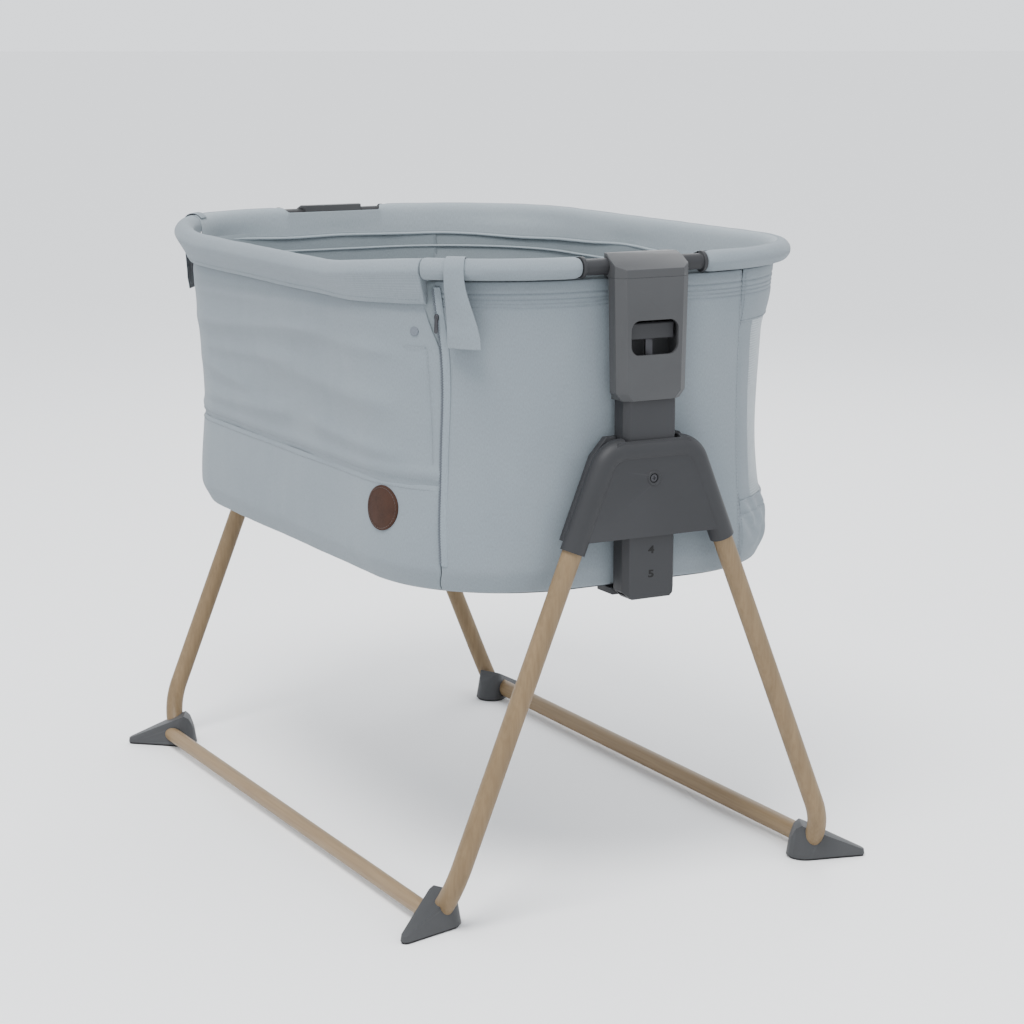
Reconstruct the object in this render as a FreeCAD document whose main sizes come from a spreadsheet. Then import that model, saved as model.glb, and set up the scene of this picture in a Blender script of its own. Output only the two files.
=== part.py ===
import FreeCAD, Part
import math
import os
import re

import Sketcher
from FreeCAD import Placement, Rotation, Vector

# Bassinet on a stand.  +X runs along the length, -Y is the front side that drops, +Z is up.
# The origin is on the floor under the middle of the stand.  Millimetres.
# "right" is the +X end, "left" the -X end.

doc = FreeCAD.newDocument("bassinet")

DIMENSIONS = [
    # stand legs: bent tubes that run from the bracket to the feet
    ("leg_radius", 12.5), ("tube_wall", 1.5), ("leg_plane", 476), ("leg_top_side", 64),
    ("leg_top_level", 560), ("leg_knee_side", 268), ("leg_knee_level", 57), ("leg_bend_radius", 88),
    ("leg_turn", 40), ("leg_heading", 18), ("leg_tip_run", 42),
    # floor bars between the feet
    ("bar_side", 285), ("bar_level", 18), ("front_bar_radius", 10.5), ("back_bar_radius", 12.5),
    ("bar_half_length", 441),
    # boot-shaped feet and their rubber soles
    ("foot_centre_x", 441), ("foot_centre_side", 268), ("foot_heading", 62.5), ("heel_radius", 24),
    ("toe_radius", 7), ("foot_reach", 73), ("foot_top", 46), ("sole_height", 3), ("sole_inset", 2.5),
    ("foot_taper", 9),
    # brackets that hold the tops of the legs and guide the height tubes
    ("rib_radius", 15.5), ("rib_bottom_level", 454), ("bracket_top", 588), ("rib_corner_radius", 30),
    ("bracket_split", 462), ("bracket_face", 488.5), ("bracket_bottom", 466), ("bracket_back", 452),
    ("back_plate", 3), ("bush_thickness", 1.6), ("bush_gap", 0.4), ("screw_level", 538),
    ("screw_head_radius", 4.5), ("screw_shank_radius", 2), ("screw_recess", 2.5),
    ("shoe_slot_half", 15), ("shoe_slot_top", 524), ("bolt_slot_half", 4.5),
    # height tubes: bevelled box section, 30 mm steps
    ("column_half", 37), ("column_front", 483), ("column_back", 455.4), ("column_bevel_y", 6),
    ("column_bevel_x", 8), ("column_wall", 2.5), ("column_bottom", 388), ("column_top", 682),
    ("column_corner", 11), ("height_step", 30), ("height_steps", 4),
    # shoes under the basket base
    ("shoe_neck_half", 14), ("shoe_half", 34), ("shoe_inner", 405), ("shoe_outer", 448),
    ("shoe_thickness", 8.5),
    # lock bolts
    ("bolt_radius", 4), ("bolt_side", 26), ("bolt_level", 474), ("bolt_tip", 451.6), ("bolt_tail", 466),
    # housings on top of the height tubes, with a finger slot
    ("housing_half_top", 51.5), ("housing_half_low", 48.5), ("housing_half_foot", 40.5),
    ("housing_back", 452), ("housing_back_half", 40), ("housing_shoulder_back", 463),
    ("housing_shoulder", 478), ("housing_front", 487), ("housing_bevel", 11.5), ("housing_foot", 633),
    ("housing_low", 643), ("housing_top", 781), ("chamber_half", 36), ("chamber_back", 458),
    ("chamber_front", 482), ("chamber_roof", 777), ("slot_half", 33), ("slot_low", 688),
    ("slot_high", 730), ("slot_corner", 12),
    # caps that hold the rim rails
    ("cap_back", 441), ("cap_back_half", 45), ("cap_top", 809), ("cap_front_level", 791),
    ("cap_ridge", 455),
    # release levers
    ("lever_half", 30.5), ("lever_back", 468), ("lever_front", 480), ("lever_low", 706),
    ("lever_high", 727), ("rod_half", 5), ("rod_back", 470), ("rod_front", 473), ("rod_low", 484),
    # rim of the basket
    ("rail_radius", 10), ("rail_bore", 8.1), ("rail_clearance", 0.1), ("rail_plane", 455),
    ("rail_level", 794), ("rail_half", 87), ("collar_radius", 13), ("collar_low", 82),
    ("collar_high", 87), ("rim_half_width", 303), ("rim_corner", 215), ("rim_tube_radius", 8),
    ("rim_tube_start", 55), ("pad_radius", 13), ("front_pad_radius", 15), ("front_pad_level", 786),
    ("zip_plane", 376), ("zip_gap", 0.3),
    # fabric walls
    ("wall_thickness", 4), ("trim_gap", 0.3), ("trim_thickness", 1.8), ("drop_seam", 530),
    ("panel_top", 770.6), ("back_seam", 162), ("zip_width", 8), ("tab_start", 22), ("tab_width", 22),
    ("tab_low", 700), ("patch_radius", 28), ("patch_x", 296), ("patch_level", 494),
    # base board and mattress
    ("board_low", 398), ("board_high", 403.6), ("board_half_length", 436), ("board_half_width", 261),
    ("board_corner", 176), ("mattress_high", 440), ("mattress_inset", 8),
]

# Outer surface of the fabric walls: level, half length, half width and corner radius.
WALL_LEVELS = [
    ("hem", 404, 440, 268, 178),
    ("base", 430, 447, 280, 187),
    ("waist", 560, 443, 277, 198),
    ("chest", 690, 444, 288, 208),
    ("top", 779, 448, 295, 211),
]

sheet = doc.addObject("Spreadsheet::Sheet", "Sizes")
sheet.Label = "Sizes"
for row, (alias, value) in enumerate(DIMENSIONS, start=1):
    sheet.set(f"A{row}", alias)
    sheet.set(f"B{row}", str(value))
    sheet.setAlias(f"B{row}", alias)
for row, (level, *values) in enumerate(WALL_LEVELS, start=len(DIMENSIONS) + 1):
    for column, kind, value in zip("BCDE", ("level", "length", "width", "corner"), values):
        sheet.set(f"{column}{row}", str(value))
        sheet.setAlias(f"{column}{row}", f"{level}_{kind}")
doc.recompute()

WALL_KINDS = ("level", "length", "width", "corner")
ALIASES = {alias for alias, value in DIMENSIONS}
ALIASES |= {f"{level}_{kind}" for level, *values in WALL_LEVELS for kind in WALL_KINDS}
NODES = []          # the objects that are exported, one per sub-part
FAR = 600           # longer than any piece: the reach of cutting tools


def size(alias):
    """A driving dimension as a number."""
    return float(sheet.get(alias))


def cell(text):
    """An expression in which every word that is an alias refers to the sheet."""
    return re.sub(r"[a-z][a-z_]+", lambda word: f"Sizes.{word[0]}" if word[0] in ALIASES else word[0], text)


def value_of(text):
    """The present value of an expression."""
    found = sheet.evalExpression(cell(str(text)))
    return float(getattr(found, "Value", found))


def node(piece, label):
    """Name a piece as a sub-part of the object."""
    piece.Label = label
    NODES.append(piece)
    return piece


def new_body(label):
    piece = doc.addObject("PartDesign::Body", label)
    piece.Label = label
    return piece


def sketch_on(body, role, offset=None, turn=0):
    """A sketch on one of the body's own origin planes, moved along the plane's normal."""
    sketch = body.newObject("Sketcher::SketchObject", "Sketch")
    plane = [item for item in body.Origin.OriginFeatures if item.Role == role][0]
    sketch.AttachmentSupport = (plane, [""])
    sketch.MapMode = "FlatFace"
    if offset is not None:
        sketch.setExpression("AttachmentOffset.Base.z", cell(offset))
    if turn:
        sketch.AttachmentOffset = Placement(sketch.AttachmentOffset.Base, Rotation(Vector(0, 0, 1), turn))
    return sketch


def pin_point(sketch, geometry, point, x_text, y_text):
    """Place one point of a sketch at two expressions."""
    for kind, axis, text in (("DistanceX", -2, x_text), ("DistanceY", -1, y_text)):
        if value_of(text) == 0:
            sketch.addConstraint(Sketcher.Constraint("PointOnObject", geometry, point, axis))
            continue
        index = sketch.addConstraint(
            Sketcher.Constraint(kind, -1, 1, geometry, point, value_of(text)))
        sketch.setExpression(f"Constraints[{index}]", cell(str(text)))


def polygon(sketch, corners):
    """A closed outline whose corners are pairs of expressions."""
    first = sketch.GeometryCount
    places = [Vector(value_of(x), value_of(y), 0) for x, y in corners]
    count = len(places)
    for number in range(count):
        sketch.addGeometry(Part.LineSegment(places[number], places[(number + 1) % count]), False)
    for number in range(count):
        following = first + (number + 1) % count
        sketch.addConstraint(Sketcher.Constraint("Coincident", first + number, 2, following, 1))
    for number, (x_text, y_text) in enumerate(corners):
        pin_point(sketch, first + number, 1, x_text, y_text)


def circle(sketch, x_text, y_text, radius):
    centre = Vector(value_of(x_text), value_of(y_text), 0)
    index = sketch.addGeometry(Part.Circle(centre, Vector(0, 0, 1), value_of(radius)), False)
    limit = sketch.addConstraint(Sketcher.Constraint("Radius", index, value_of(radius)))
    sketch.setExpression(f"Constraints[{limit}]", cell(str(radius)))
    pin_point(sketch, index, 3, x_text, y_text)


def ring(sketch, x_text, y_text, outer, inner):
    circle(sketch, x_text, y_text, outer)
    circle(sketch, x_text, y_text, inner)


def rounded_box(sketch, half_x, half_y, corner, centre_y="0"):
    """A rectangle with equal round corners, about a centre on the sketch's Y axis."""
    a, b, r, c = (value_of(text) for text in (half_x, half_y, corner, centre_y))
    quarter = math.pi / 2
    first = sketch.GeometryCount
    sides = [((a, c - b + r), (a, c + b - r)), ((a - r, c + b), (r - a, c + b)),
             ((-a, c + b - r), (-a, c - b + r)), ((r - a, c - b), (a - r, c - b))]
    centres = [(a - r, c + b - r), (r - a, c + b - r), (r - a, c - b + r), (a - r, c - b + r)]
    for number, (start, end) in enumerate(sides):
        sketch.addGeometry(Part.LineSegment(Vector(*start, 0), Vector(*end, 0)), False)
        ring = Part.Circle(Vector(*centres[number], 0), Vector(0, 0, 1), r)
        sketch.addGeometry(Part.ArcOfCircle(ring, number * quarter, (number + 1) * quarter), False)
    for number in range(4):
        side = first + 2 * number
        following = first + (2 * number + 2) % 8
        sketch.addConstraint(Sketcher.Constraint("Tangent", side, 2, side + 1, 1))
        sketch.addConstraint(Sketcher.Constraint("Tangent", side + 1, 2, following, 1))
        sketch.addConstraint(Sketcher.Constraint("Horizontal" if number % 2 else "Vertical", side))
        if number:
            sketch.addConstraint(Sketcher.Constraint("Equal", first + 1, side + 1))
    limits = [("Radius", (first + 1,), corner),
              ("DistanceX", (-1, 1, first, 1), half_x),
              ("DistanceX", (-1, 1, first + 4, 1), f"0 - {half_x}"),
              ("DistanceY", (-1, 1, first + 2, 1), f"{centre_y} + {half_y}"),
              ("DistanceY", (-1, 1, first + 6, 1), f"{centre_y} - {half_y}")]
    for kind, places, text in limits:
        index = sketch.addConstraint(Sketcher.Constraint(kind, *places, value_of(text)))
        sketch.setExpression(f"Constraints[{index}]", cell(text))


def pad(body, sketch, length, middle=False, taper=None, reverse=False):
    feature = body.newObject("PartDesign::Pad", "Pad")
    feature.Profile = sketch
    feature.setExpression("Length", cell(length))
    feature.Midplane = middle
    feature.Reversed = reverse
    if taper is not None:
        feature.setExpression("TaperAngle", cell(taper))
    body.Tip = feature
    doc.recompute()
    return feature


def pocket(body, sketch, length, middle=False, reverse=False):
    """Cut a sketch into the body, and make sure that material really went."""
    before = body.Shape.Volume
    feature = body.newObject("PartDesign::Pocket", "Pocket")
    feature.Profile = sketch
    feature.setExpression("Length", cell(length))
    feature.Midplane = middle
    feature.Reversed = reverse
    body.Tip = feature
    doc.recompute()
    if body.Shape.Volume >= before - 1e-3:
        raise RuntimeError(f"{body.Label}: {feature.Name} cuts nothing")
    return feature


def pipe(body, profile, spine):
    feature = body.newObject("PartDesign::AdditivePipe", "Pipe")
    feature.Profile = profile
    feature.Spine = spine
    body.Tip = feature
    doc.recompute()
    return feature


def mirror_feature(body, feature, role):
    """Repeat a feature on the other side of one of the body's origin planes."""
    other = body.newObject("PartDesign::Mirrored", "Mirrored")
    other.Originals = [feature]
    middle = [item for item in body.Origin.OriginFeatures if item.Role == role][0]
    other.MirrorPlane = (middle, [""])
    body.Tip = other
    doc.recompute()


def boolean(kind, base, tools):
    """Cut or fuse whole pieces."""
    result = doc.addObject(f"Part::{kind}", kind)
    if kind == "MultiFuse":
        result.Shapes = [base, *tools]
    else:
        result.Base = base
        result.Tool = tools[0]
    doc.recompute()
    return result


def block(x_low, x_high, y_low, y_high, z_low, z_high):
    """A box between six expressions."""
    result = doc.addObject("Part::Box", "Block")
    spans = {"Length": (x_low, x_high), "Width": (y_low, y_high), "Height": (z_low, z_high)}
    for letter, (name, (low, high)) in zip("xyz", spans.items()):
        result.setExpression(f"Placement.Base.{letter}", cell(str(low)))
        result.setExpression(name, cell(f"( {high} ) - ( {low} )"))
    doc.recompute()
    return result


def rod(radius, length, place):
    """A cylinder that starts at a placement and runs along its Z."""
    result = doc.addObject("Part::Cylinder", "Rod")
    result.setExpression("Radius", cell(radius))
    result.setExpression("Height", cell(length))
    result.Placement = place
    doc.recompute()
    return result


def mirrored(source, label, normal):
    """The same piece on the other side of the middle plane."""
    copy = doc.addObject("Part::Mirroring", label)
    copy.Source = source
    copy.Normal = normal
    doc.recompute()
    return node(copy, label)


ACROSS = Vector(0, 1, 0)     # mirror front to back
ALONG = Vector(1, 0, 0)      # mirror right to left


# ---- legs ------------------------------------------------------------------------------------

def leg_placement():
    """The front right leg: local +Y runs up the tube, local +X is the way the foot end bends."""
    top = Vector(size("leg_plane"), -size("leg_top_side"), size("leg_top_level"))
    knee = Vector(size("leg_plane"), -size("leg_knee_side"), size("leg_knee_level"))
    up = (top - knee).normalize()
    inward = Rotation(up, -size("leg_heading")).multVec(Vector(-1, 0, 0))
    matrix = FreeCAD.Matrix()
    for column, axis in enumerate((inward, up, inward.cross(up)), start=1):
        for line, part in enumerate(axis, start=1):
            setattr(matrix, f"A{line}{column}", part)
    return Placement(knee, Placement(matrix).Rotation), (top - knee).Length


def leg(label, radius, wall):
    """A straight tube with one bend near its lower end."""
    place, length = leg_placement()
    body = new_body(label)
    bend, turn = "leg_bend_radius", math.radians(size("leg_turn"))
    radius_bend = size(bend)
    tangent = radius_bend * math.tan(turn / 2)
    heading = Vector(math.sin(turn), -math.cos(turn), 0)
    path = sketch_on(body, "XY_Plane")
    path.addGeometry(Part.LineSegment(Vector(0, length, 0), Vector(0, tangent, 0)), False)
    ring = Part.Circle(Vector(radius_bend, tangent, 0), Vector(0, 0, 1), radius_bend)
    path.addGeometry(Part.ArcOfCircle(ring, math.pi, math.pi + turn), False)
    path.addGeometry(Part.LineSegment(heading * tangent, heading * size("leg_tip_run")), False)
    path.addConstraint(Sketcher.Constraint("PointOnObject", 0, 1, -2))
    path.addConstraint(Sketcher.Constraint("Vertical", 0))
    path.addConstraint(Sketcher.Constraint("Tangent", 0, 2, 1, 1))
    path.addConstraint(Sketcher.Constraint("Tangent", 1, 2, 2, 1))
    top = path.addConstraint(Sketcher.Constraint("DistanceY", -1, 1, 0, 1, length))
    path.setExpression(f"Constraints[{top}]", cell(
        "sqrt((leg_top_level - leg_knee_level) ^ 2 + (leg_knee_side - leg_top_side) ^ 2)"))
    curve = path.addConstraint(Sketcher.Constraint("Radius", 1, radius_bend))
    path.setExpression(f"Constraints[{curve}]", cell(bend))
    for kind, text in (("DistanceX", "leg_tip_run * sin( leg_turn * 1 deg )"),
                       ("DistanceY", "0 - leg_tip_run * cos( leg_turn * 1 deg )")):
        index = path.addConstraint(Sketcher.Constraint(kind, -1, 1, 2, 2, value_of(text)))
        path.setExpression(f"Constraints[{index}]", cell(text))
    section = sketch_on(body, "XZ_Plane")
    section.AttachmentOffset = Placement(Vector(0, 0, -length), Rotation())
    circle(section, "0", "0", radius)
    if wall:
        circle(section, "0", "0", f"{radius} - {wall}")
    pipe(body, section, path)
    body.Placement = place
    return body


front_right_leg = node(leg("front_right_leg", "leg_radius", "tube_wall"), "front_right_leg")
back_right_leg = mirrored(front_right_leg, "back_right_leg", ACROSS)
mirrored(front_right_leg, "front_left_leg", ALONG)
mirrored(back_right_leg, "back_left_leg", ALONG)
leg_core = leg("leg_core", "leg_radius + 0.05", None)


# ---- floor bars ------------------------------------------------------------------------------

def floor_bar(label, radius, side):
    body = new_body(label)
    section = sketch_on(body, "YZ_Plane")
    ring(section, side, "bar_level", radius, f"{radius} - tube_wall")
    pad(body, section, "2 * bar_half_length", middle=True)
    return body


node(floor_bar("front_floor_bar", "front_bar_radius", "0 - bar_side"), "front_floor_bar")
node(floor_bar("back_floor_bar", "back_bar_radius", "bar_side"), "back_floor_bar")


# ---- feet ------------------------------------------------------------------------------------

def teardrop(sketch, heel, toe, reach):
    """A heel circle and a smaller toe circle joined by their two tangents."""
    big, small, span = value_of(heel), value_of(toe), value_of(reach)
    lean = math.acos((big - small) / span)
    heel_ring = Part.Circle(Vector(0, 0, 0), Vector(0, 0, 1), big)
    toe_ring = Part.Circle(Vector(span, 0, 0), Vector(0, 0, 1), small)
    sketch.addGeometry(Part.ArcOfCircle(heel_ring, lean, 2 * math.pi - lean), False)
    low = Vector(math.cos(lean), -math.sin(lean), 0)
    high = Vector(math.cos(lean), math.sin(lean), 0)
    reach_out = Vector(span, 0, 0)
    sketch.addGeometry(Part.LineSegment(low * big, reach_out + low * small), False)
    sketch.addGeometry(Part.ArcOfCircle(toe_ring, -lean, lean), False)
    sketch.addGeometry(Part.LineSegment(reach_out + high * small, high * big), False)
    for number in range(4):
        sketch.addConstraint(Sketcher.Constraint("Tangent", number, 2, (number + 1) % 4, 1))
    sketch.addConstraint(Sketcher.Constraint("Coincident", 0, 3, -1, 1))
    sketch.addConstraint(Sketcher.Constraint("PointOnObject", 2, 3, -1))
    for kind, places, text in (("Radius", (0,), heel), ("Radius", (2,), toe),
                               ("DistanceX", (-1, 1, 2, 3), reach)):
        index = sketch.addConstraint(Sketcher.Constraint(kind, *places, value_of(text)))
        sketch.setExpression(f"Constraints[{index}]", cell(text))


def foot_place(x, side, heading):
    return Placement(Vector(x, -side, 0), Rotation(Vector(0, 0, 1), -heading))


def foot_blank():
    """The boot before its sockets are cut: a tapered block whose back slopes down to the toe."""
    body = new_body("foot_blank")
    plan = sketch_on(body, "XY_Plane", "sole_height")
    teardrop(plan, "heel_radius", "toe_radius", "foot_reach")
    pad(body, plan, "foot_top - sole_height", taper="0 - foot_taper")
    side = sketch_on(body, "XZ_Plane")
    polygon(side, [("0 - 40", "12"), ("0 - 25", "14"), ("0 - 13", "41"), ("0 - 6", "foot_top"),
                   ("foot_reach + 9", "8"), ("foot_reach + 9", "foot_top + 9"),
                   ("0 - 40", "foot_top + 9")])
    pocket(body, side, "120", middle=True)
    body.Placement = foot_place(size("foot_centre_x"), size("foot_centre_side"), size("foot_heading"))
    doc.recompute()
    return body


def foot_sole(label):
    body = new_body(label)
    plan = sketch_on(body, "XY_Plane")
    teardrop(plan, "heel_radius - sole_inset", "toe_radius - sole_inset / 2", "foot_reach")
    pad(body, plan, "sole_height")
    body.Placement = foot_place(size("foot_centre_x"), size("foot_centre_side"), size("foot_heading"))
    doc.recompute()
    return body


def bar_core(radius, side):
    """The space that a floor bar takes inside a foot."""
    start = Vector(0, side, size("bar_level"))
    return rod(f"{radius} + 0.05", "bar_half_length + 0.05", Placement(start, Rotation(Vector(0, 1, 0), 90)))


blank = foot_blank()
front_tools = boolean("MultiFuse", leg_core, [bar_core("front_bar_radius", -size("bar_side"))])
front_right_foot = node(boolean("Cut", blank, [front_tools]), "front_right_foot")
mirrored(front_right_foot, "front_left_foot", ALONG)
back_tools = boolean("MultiFuse", leg_core, [bar_core("back_bar_radius", -size("bar_side"))])
back_foot_unturned = boolean("Cut", blank, [back_tools])
back_right_foot = mirrored(back_foot_unturned, "back_right_foot", ACROSS)
mirrored(back_right_foot, "back_left_foot", ALONG)

front_right_sole = node(foot_sole("front_right_sole"), "front_right_sole")
back_right_sole = mirrored(front_right_sole, "back_right_sole", ACROSS)
mirrored(front_right_sole, "front_left_sole", ALONG)
mirrored(back_right_sole, "back_left_sole", ALONG)


# ---- brackets --------------------------------------------------------------------------------

SIDE_PER_LEVEL = "( leg_knee_side - leg_top_side ) / ( leg_top_level - leg_knee_level )"


def leg_side(level):
    """Expression for a leg's distance from the middle at a level."""
    return f"( leg_knee_side - ( {level} - leg_knee_level ) * {SIDE_PER_LEVEL} )"


def bracket_ribs(body):
    """A round rib that runs up one leg, over the top and down the other leg."""
    crown = "bracket_top - rib_radius"
    low_side, low = value_of(leg_side("rib_bottom_level")), size("rib_bottom_level")
    top_side, top = value_of(leg_side(f"( {crown} )")), value_of(crown)
    lean = math.atan2(top - low, low_side - top_side)
    bend = size("rib_corner_radius")
    tangent = bend * math.tan(lean / 2)
    path = sketch_on(body, "YZ_Plane", "leg_plane")
    corner_low = Vector(top_side + tangent * math.cos(lean), top - tangent * math.sin(lean), 0)
    centre = Vector(top_side - tangent, top - bend, 0)
    start = math.pi / 2
    path.addGeometry(Part.LineSegment(Vector(low_side, low, 0), corner_low), False)
    ring = Part.Circle(centre, Vector(0, 0, 1), bend)
    path.addGeometry(Part.ArcOfCircle(ring, start - lean, start), False)
    path.addGeometry(Part.LineSegment(Vector(top_side - tangent, top, 0), Vector(0, top, 0)), False)
    path.addConstraint(Sketcher.Constraint("Tangent", 0, 2, 1, 1))
    path.addConstraint(Sketcher.Constraint("Tangent", 1, 2, 2, 1))
    path.addConstraint(Sketcher.Constraint("Horizontal", 2))
    path.addConstraint(Sketcher.Constraint("PointOnObject", 2, 2, -2))
    index = path.addConstraint(Sketcher.Constraint("Radius", 1, bend))
    path.setExpression(f"Constraints[{index}]", cell("rib_corner_radius"))
    for kind, places, text in (("DistanceY", (-1, 1, 2, 2), crown),
                               ("DistanceX", (-1, 1, 0, 1), leg_side("rib_bottom_level")),
                               ("DistanceY", (-1, 1, 0, 1), "rib_bottom_level")):
        index = path.addConstraint(Sketcher.Constraint(kind, *places, value_of(text)))
        path.setExpression(f"Constraints[{index}]", cell(text))
    index = path.addConstraint(Sketcher.Constraint("Angle", 0, math.pi - lean))
    path.setExpression(f"Constraints[{index}]", cell(
        "180 deg - atan( ( leg_top_level - leg_knee_level ) / ( leg_knee_side - leg_top_side ) )"))
    section = sketch_on(body, "XZ_Plane")
    circle(section, "leg_plane", crown, "rib_radius")
    return path, section


def bracket_shell(label):
    """The outer half of the bracket."""
    body = new_body(label + "_body")
    field = sketch_on(body, "YZ_Plane", "bracket_split")
    low, high = leg_side("bracket_bottom"), leg_side("( bracket_top - 22 )")
    polygon(field, [(f"0 - {low}", "bracket_bottom"), (low, "bracket_bottom"), (high, "bracket_top - 22"),
                    ("50", "bracket_top - 4"), ("0 - 50", "bracket_top - 4"),
                    (f"0 - {high}", "bracket_top - 22")])
    pad(body, field, "bracket_face - bracket_split")
    path, section = bracket_ribs(body)
    mirror_feature(body, pipe(body, section, path), "XZ_Plane")
    recess = sketch_on(body, "YZ_Plane", "bracket_face")
    circle(recess, "0", "screw_level", "screw_head_radius + 1.5")
    pocket(body, recess, "screw_recess")
    hole = sketch_on(body, "YZ_Plane", "bracket_face")
    circle(hole, "0", "screw_level", "screw_shank_radius")
    pocket(body, hole, "12")
    return body


def channel(extra):
    """The height tube's space inside a bracket, wider than the tube by a margin all round."""
    half = f"( column_half + {extra} )"
    return block("bracket_back - 40", f"column_front + {extra}", f"0 - {half}", half,
                 "bracket_bottom - 60", "bracket_top + 60")


def leg_bore(side):
    place, length = leg_placement()
    low = place.Base
    up = place.Rotation.multVec(Vector(0, 1, 0))
    if side > 0:
        low = Vector(low.x, -low.y, low.z)
        up = Vector(up.x, -up.y, up.z)
    start = low + up * (length / 2)
    return rod("leg_radius + 0.05", str(length / 2 + 1), Placement(start, Rotation(Vector(0, 0, 1), up)))


shell_blank = bracket_shell("right_bracket_shell")
behind = block("bracket_split - 60", "bracket_split", "0 - 200", "200", "bracket_bottom - 60", "bracket_top + 60")
shell_tools = boolean("MultiFuse", channel("bush_gap + bush_thickness"),
                      [leg_bore(-1), leg_bore(1), behind])
right_bracket_shell = node(boolean("Cut", shell_blank, [shell_tools]), "right_bracket_shell")
mirrored(right_bracket_shell, "left_bracket_shell", ALONG)


def bracket_back(label):
    """The inner half: two side cheeks and a back plate with a slot for the shoe and one for the bolt."""
    body = new_body(label)
    outline = sketch_on(body, "YZ_Plane", "bracket_back")
    low, high = leg_side("bracket_bottom"), leg_side("( bracket_top - 22 )")
    polygon(outline, [(f"0 - {low} - 10", "bracket_bottom"), (f"{low} + 10", "bracket_bottom"),
                      (f"{high} + 10", "bracket_top - 22"), ("52", "bracket_top"), ("32", "bracket_top"),
                      ("32", "bolt_level + height_step * height_steps + 12"),
                      ("0 - 32", "bolt_level + height_step * height_steps + 12"),
                      ("0 - 32", "bracket_top"), ("0 - 52", "bracket_top"),
                      (f"0 - {high} - 10", "bracket_top - 22")])
    pad(body, outline, "bracket_split - bracket_back")
    guide = sketch_on(body, "YZ_Plane", "bracket_split")
    half = "column_half + bush_gap + bush_thickness"
    polygon(guide, [(f"0 - ( {half} )", "bracket_bottom - 10"), (half, "bracket_bottom - 10"),
                    (half, "bracket_top + 30"), (f"0 - ( {half} )", "bracket_top + 30")])
    pocket(body, guide, "bracket_split - bracket_back - back_plate")
    slots = sketch_on(body, "YZ_Plane", "bracket_split")
    polygon(slots, [("0 - shoe_slot_half", "bracket_bottom - 10"), ("shoe_slot_half", "bracket_bottom - 10"),
                    ("shoe_slot_half", "shoe_slot_top"), ("0 - shoe_slot_half", "shoe_slot_top")])
    low_end, high_end = "bolt_level - 6", "bolt_level + height_step * height_steps + 6"
    polygon(slots, [("bolt_side - bolt_slot_half", low_end), ("bolt_side + bolt_slot_half", low_end),
                    ("bolt_side + bolt_slot_half", high_end), ("bolt_side - bolt_slot_half", high_end)])
    pocket(body, slots, "20")
    return body


right_bracket_back = node(bracket_back("right_bracket_back"), "right_bracket_back")
mirrored(right_bracket_back, "left_bracket_back", ALONG)


def guide_bush(label):
    """A thin low-friction liner on the front and sides of the bracket's channel."""
    outer = block("bracket_back + back_plate + 1", "column_front + bush_gap + bush_thickness",
                  "0 - column_half - bush_gap - bush_thickness", "column_half + bush_gap + bush_thickness",
                  "bracket_bottom + 4", "bracket_top - 6")
    inner = block("bracket_back - 40", "column_front + bush_gap", "0 - column_half - bush_gap",
                  "column_half + bush_gap", "bracket_bottom - 60", "bracket_top + 60")
    sleeve = boolean("Cut", outer, [inner])
    place = Placement(Vector(size("column_front") - 5, 0, size("screw_level")), Rotation(Vector(0, 1, 0), 90))
    return boolean("Cut", sleeve, [rod("screw_shank_radius", "20", place)])


right_guide_bush = node(guide_bush("right_guide_bush"), "right_guide_bush")
mirrored(right_guide_bush, "left_guide_bush", ALONG)


def bush_screw(label):
    """A pan head with a cross recess, in the bracket's round recess."""
    body = new_body(label)
    head = sketch_on(body, "YZ_Plane", "bracket_face - screw_recess")
    circle(head, "0", "screw_level", "screw_head_radius")
    pad(body, head, "screw_recess - 0.5")
    shank = sketch_on(body, "YZ_Plane", "bracket_face - screw_recess")
    circle(shank, "0", "screw_level", "screw_shank_radius - 0.02")
    pad(body, shank, "bracket_face - screw_recess - column_front - bush_gap - 0.1", reverse=True)
    for wide, high in (("2.6", "0.6"), ("0.6", "2.6")):
        cross = sketch_on(body, "YZ_Plane", "bracket_face")
        polygon(cross, [(f"0 - {wide}", f"screw_level - {high}"), (wide, f"screw_level - {high}"),
                        (wide, f"screw_level + {high}"), (f"0 - {wide}", f"screw_level + {high}")])
        pocket(body, cross, "1.7")
    return body


right_bush_screw = node(bush_screw("right_bush_screw"), "right_bush_screw")
mirrored(right_bush_screw, "left_bush_screw", ALONG)


# ---- height tubes, shoes and locks -----------------------------------------------------------

def column_section(sketch, grow):
    """Half-bevelled box section, grown or shrunk on every side."""
    half, front, back = f"column_half + {grow}", f"column_front + {grow}", f"column_back - {grow}"
    polygon(sketch, [(back, f"0 - ( {half} )"), (f"{front} - column_bevel_x", f"0 - ( {half} )"),
                     (front, f"0 - ( {half} - column_bevel_y )"), (front, f"{half} - column_bevel_y"),
                     (f"{front} - column_bevel_x", half), (back, half)])


def height_tube(label):
    body = new_body(label)
    outer = sketch_on(body, "XY_Plane", "column_bottom")
    column_section(outer, "0")
    pad(body, outer, "column_top - column_bottom")
    inner = sketch_on(body, "XY_Plane", "column_top")
    column_section(inner, "( 0 - column_wall )")
    pocket(body, inner, "column_top - column_bottom - 4")
    corners = sketch_on(body, "YZ_Plane")
    for sign in ("", "0 - "):
        polygon(corners, [(f"{sign}( column_half + 1 )", "column_bottom - 1"),
                          (f"{sign}( column_half + 1 )", "column_bottom + column_corner"),
                          (f"{sign}( column_half - column_corner )", "column_bottom - 1")])
    pocket(body, corners, str(FAR), reverse=True)
    hole = sketch_on(body, "YZ_Plane", "column_back - 1")
    circle(hole, "bolt_side", "bolt_level", "bolt_radius + 0.1")
    pocket(body, hole, "column_wall + 2", reverse=True)
    return body


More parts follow.
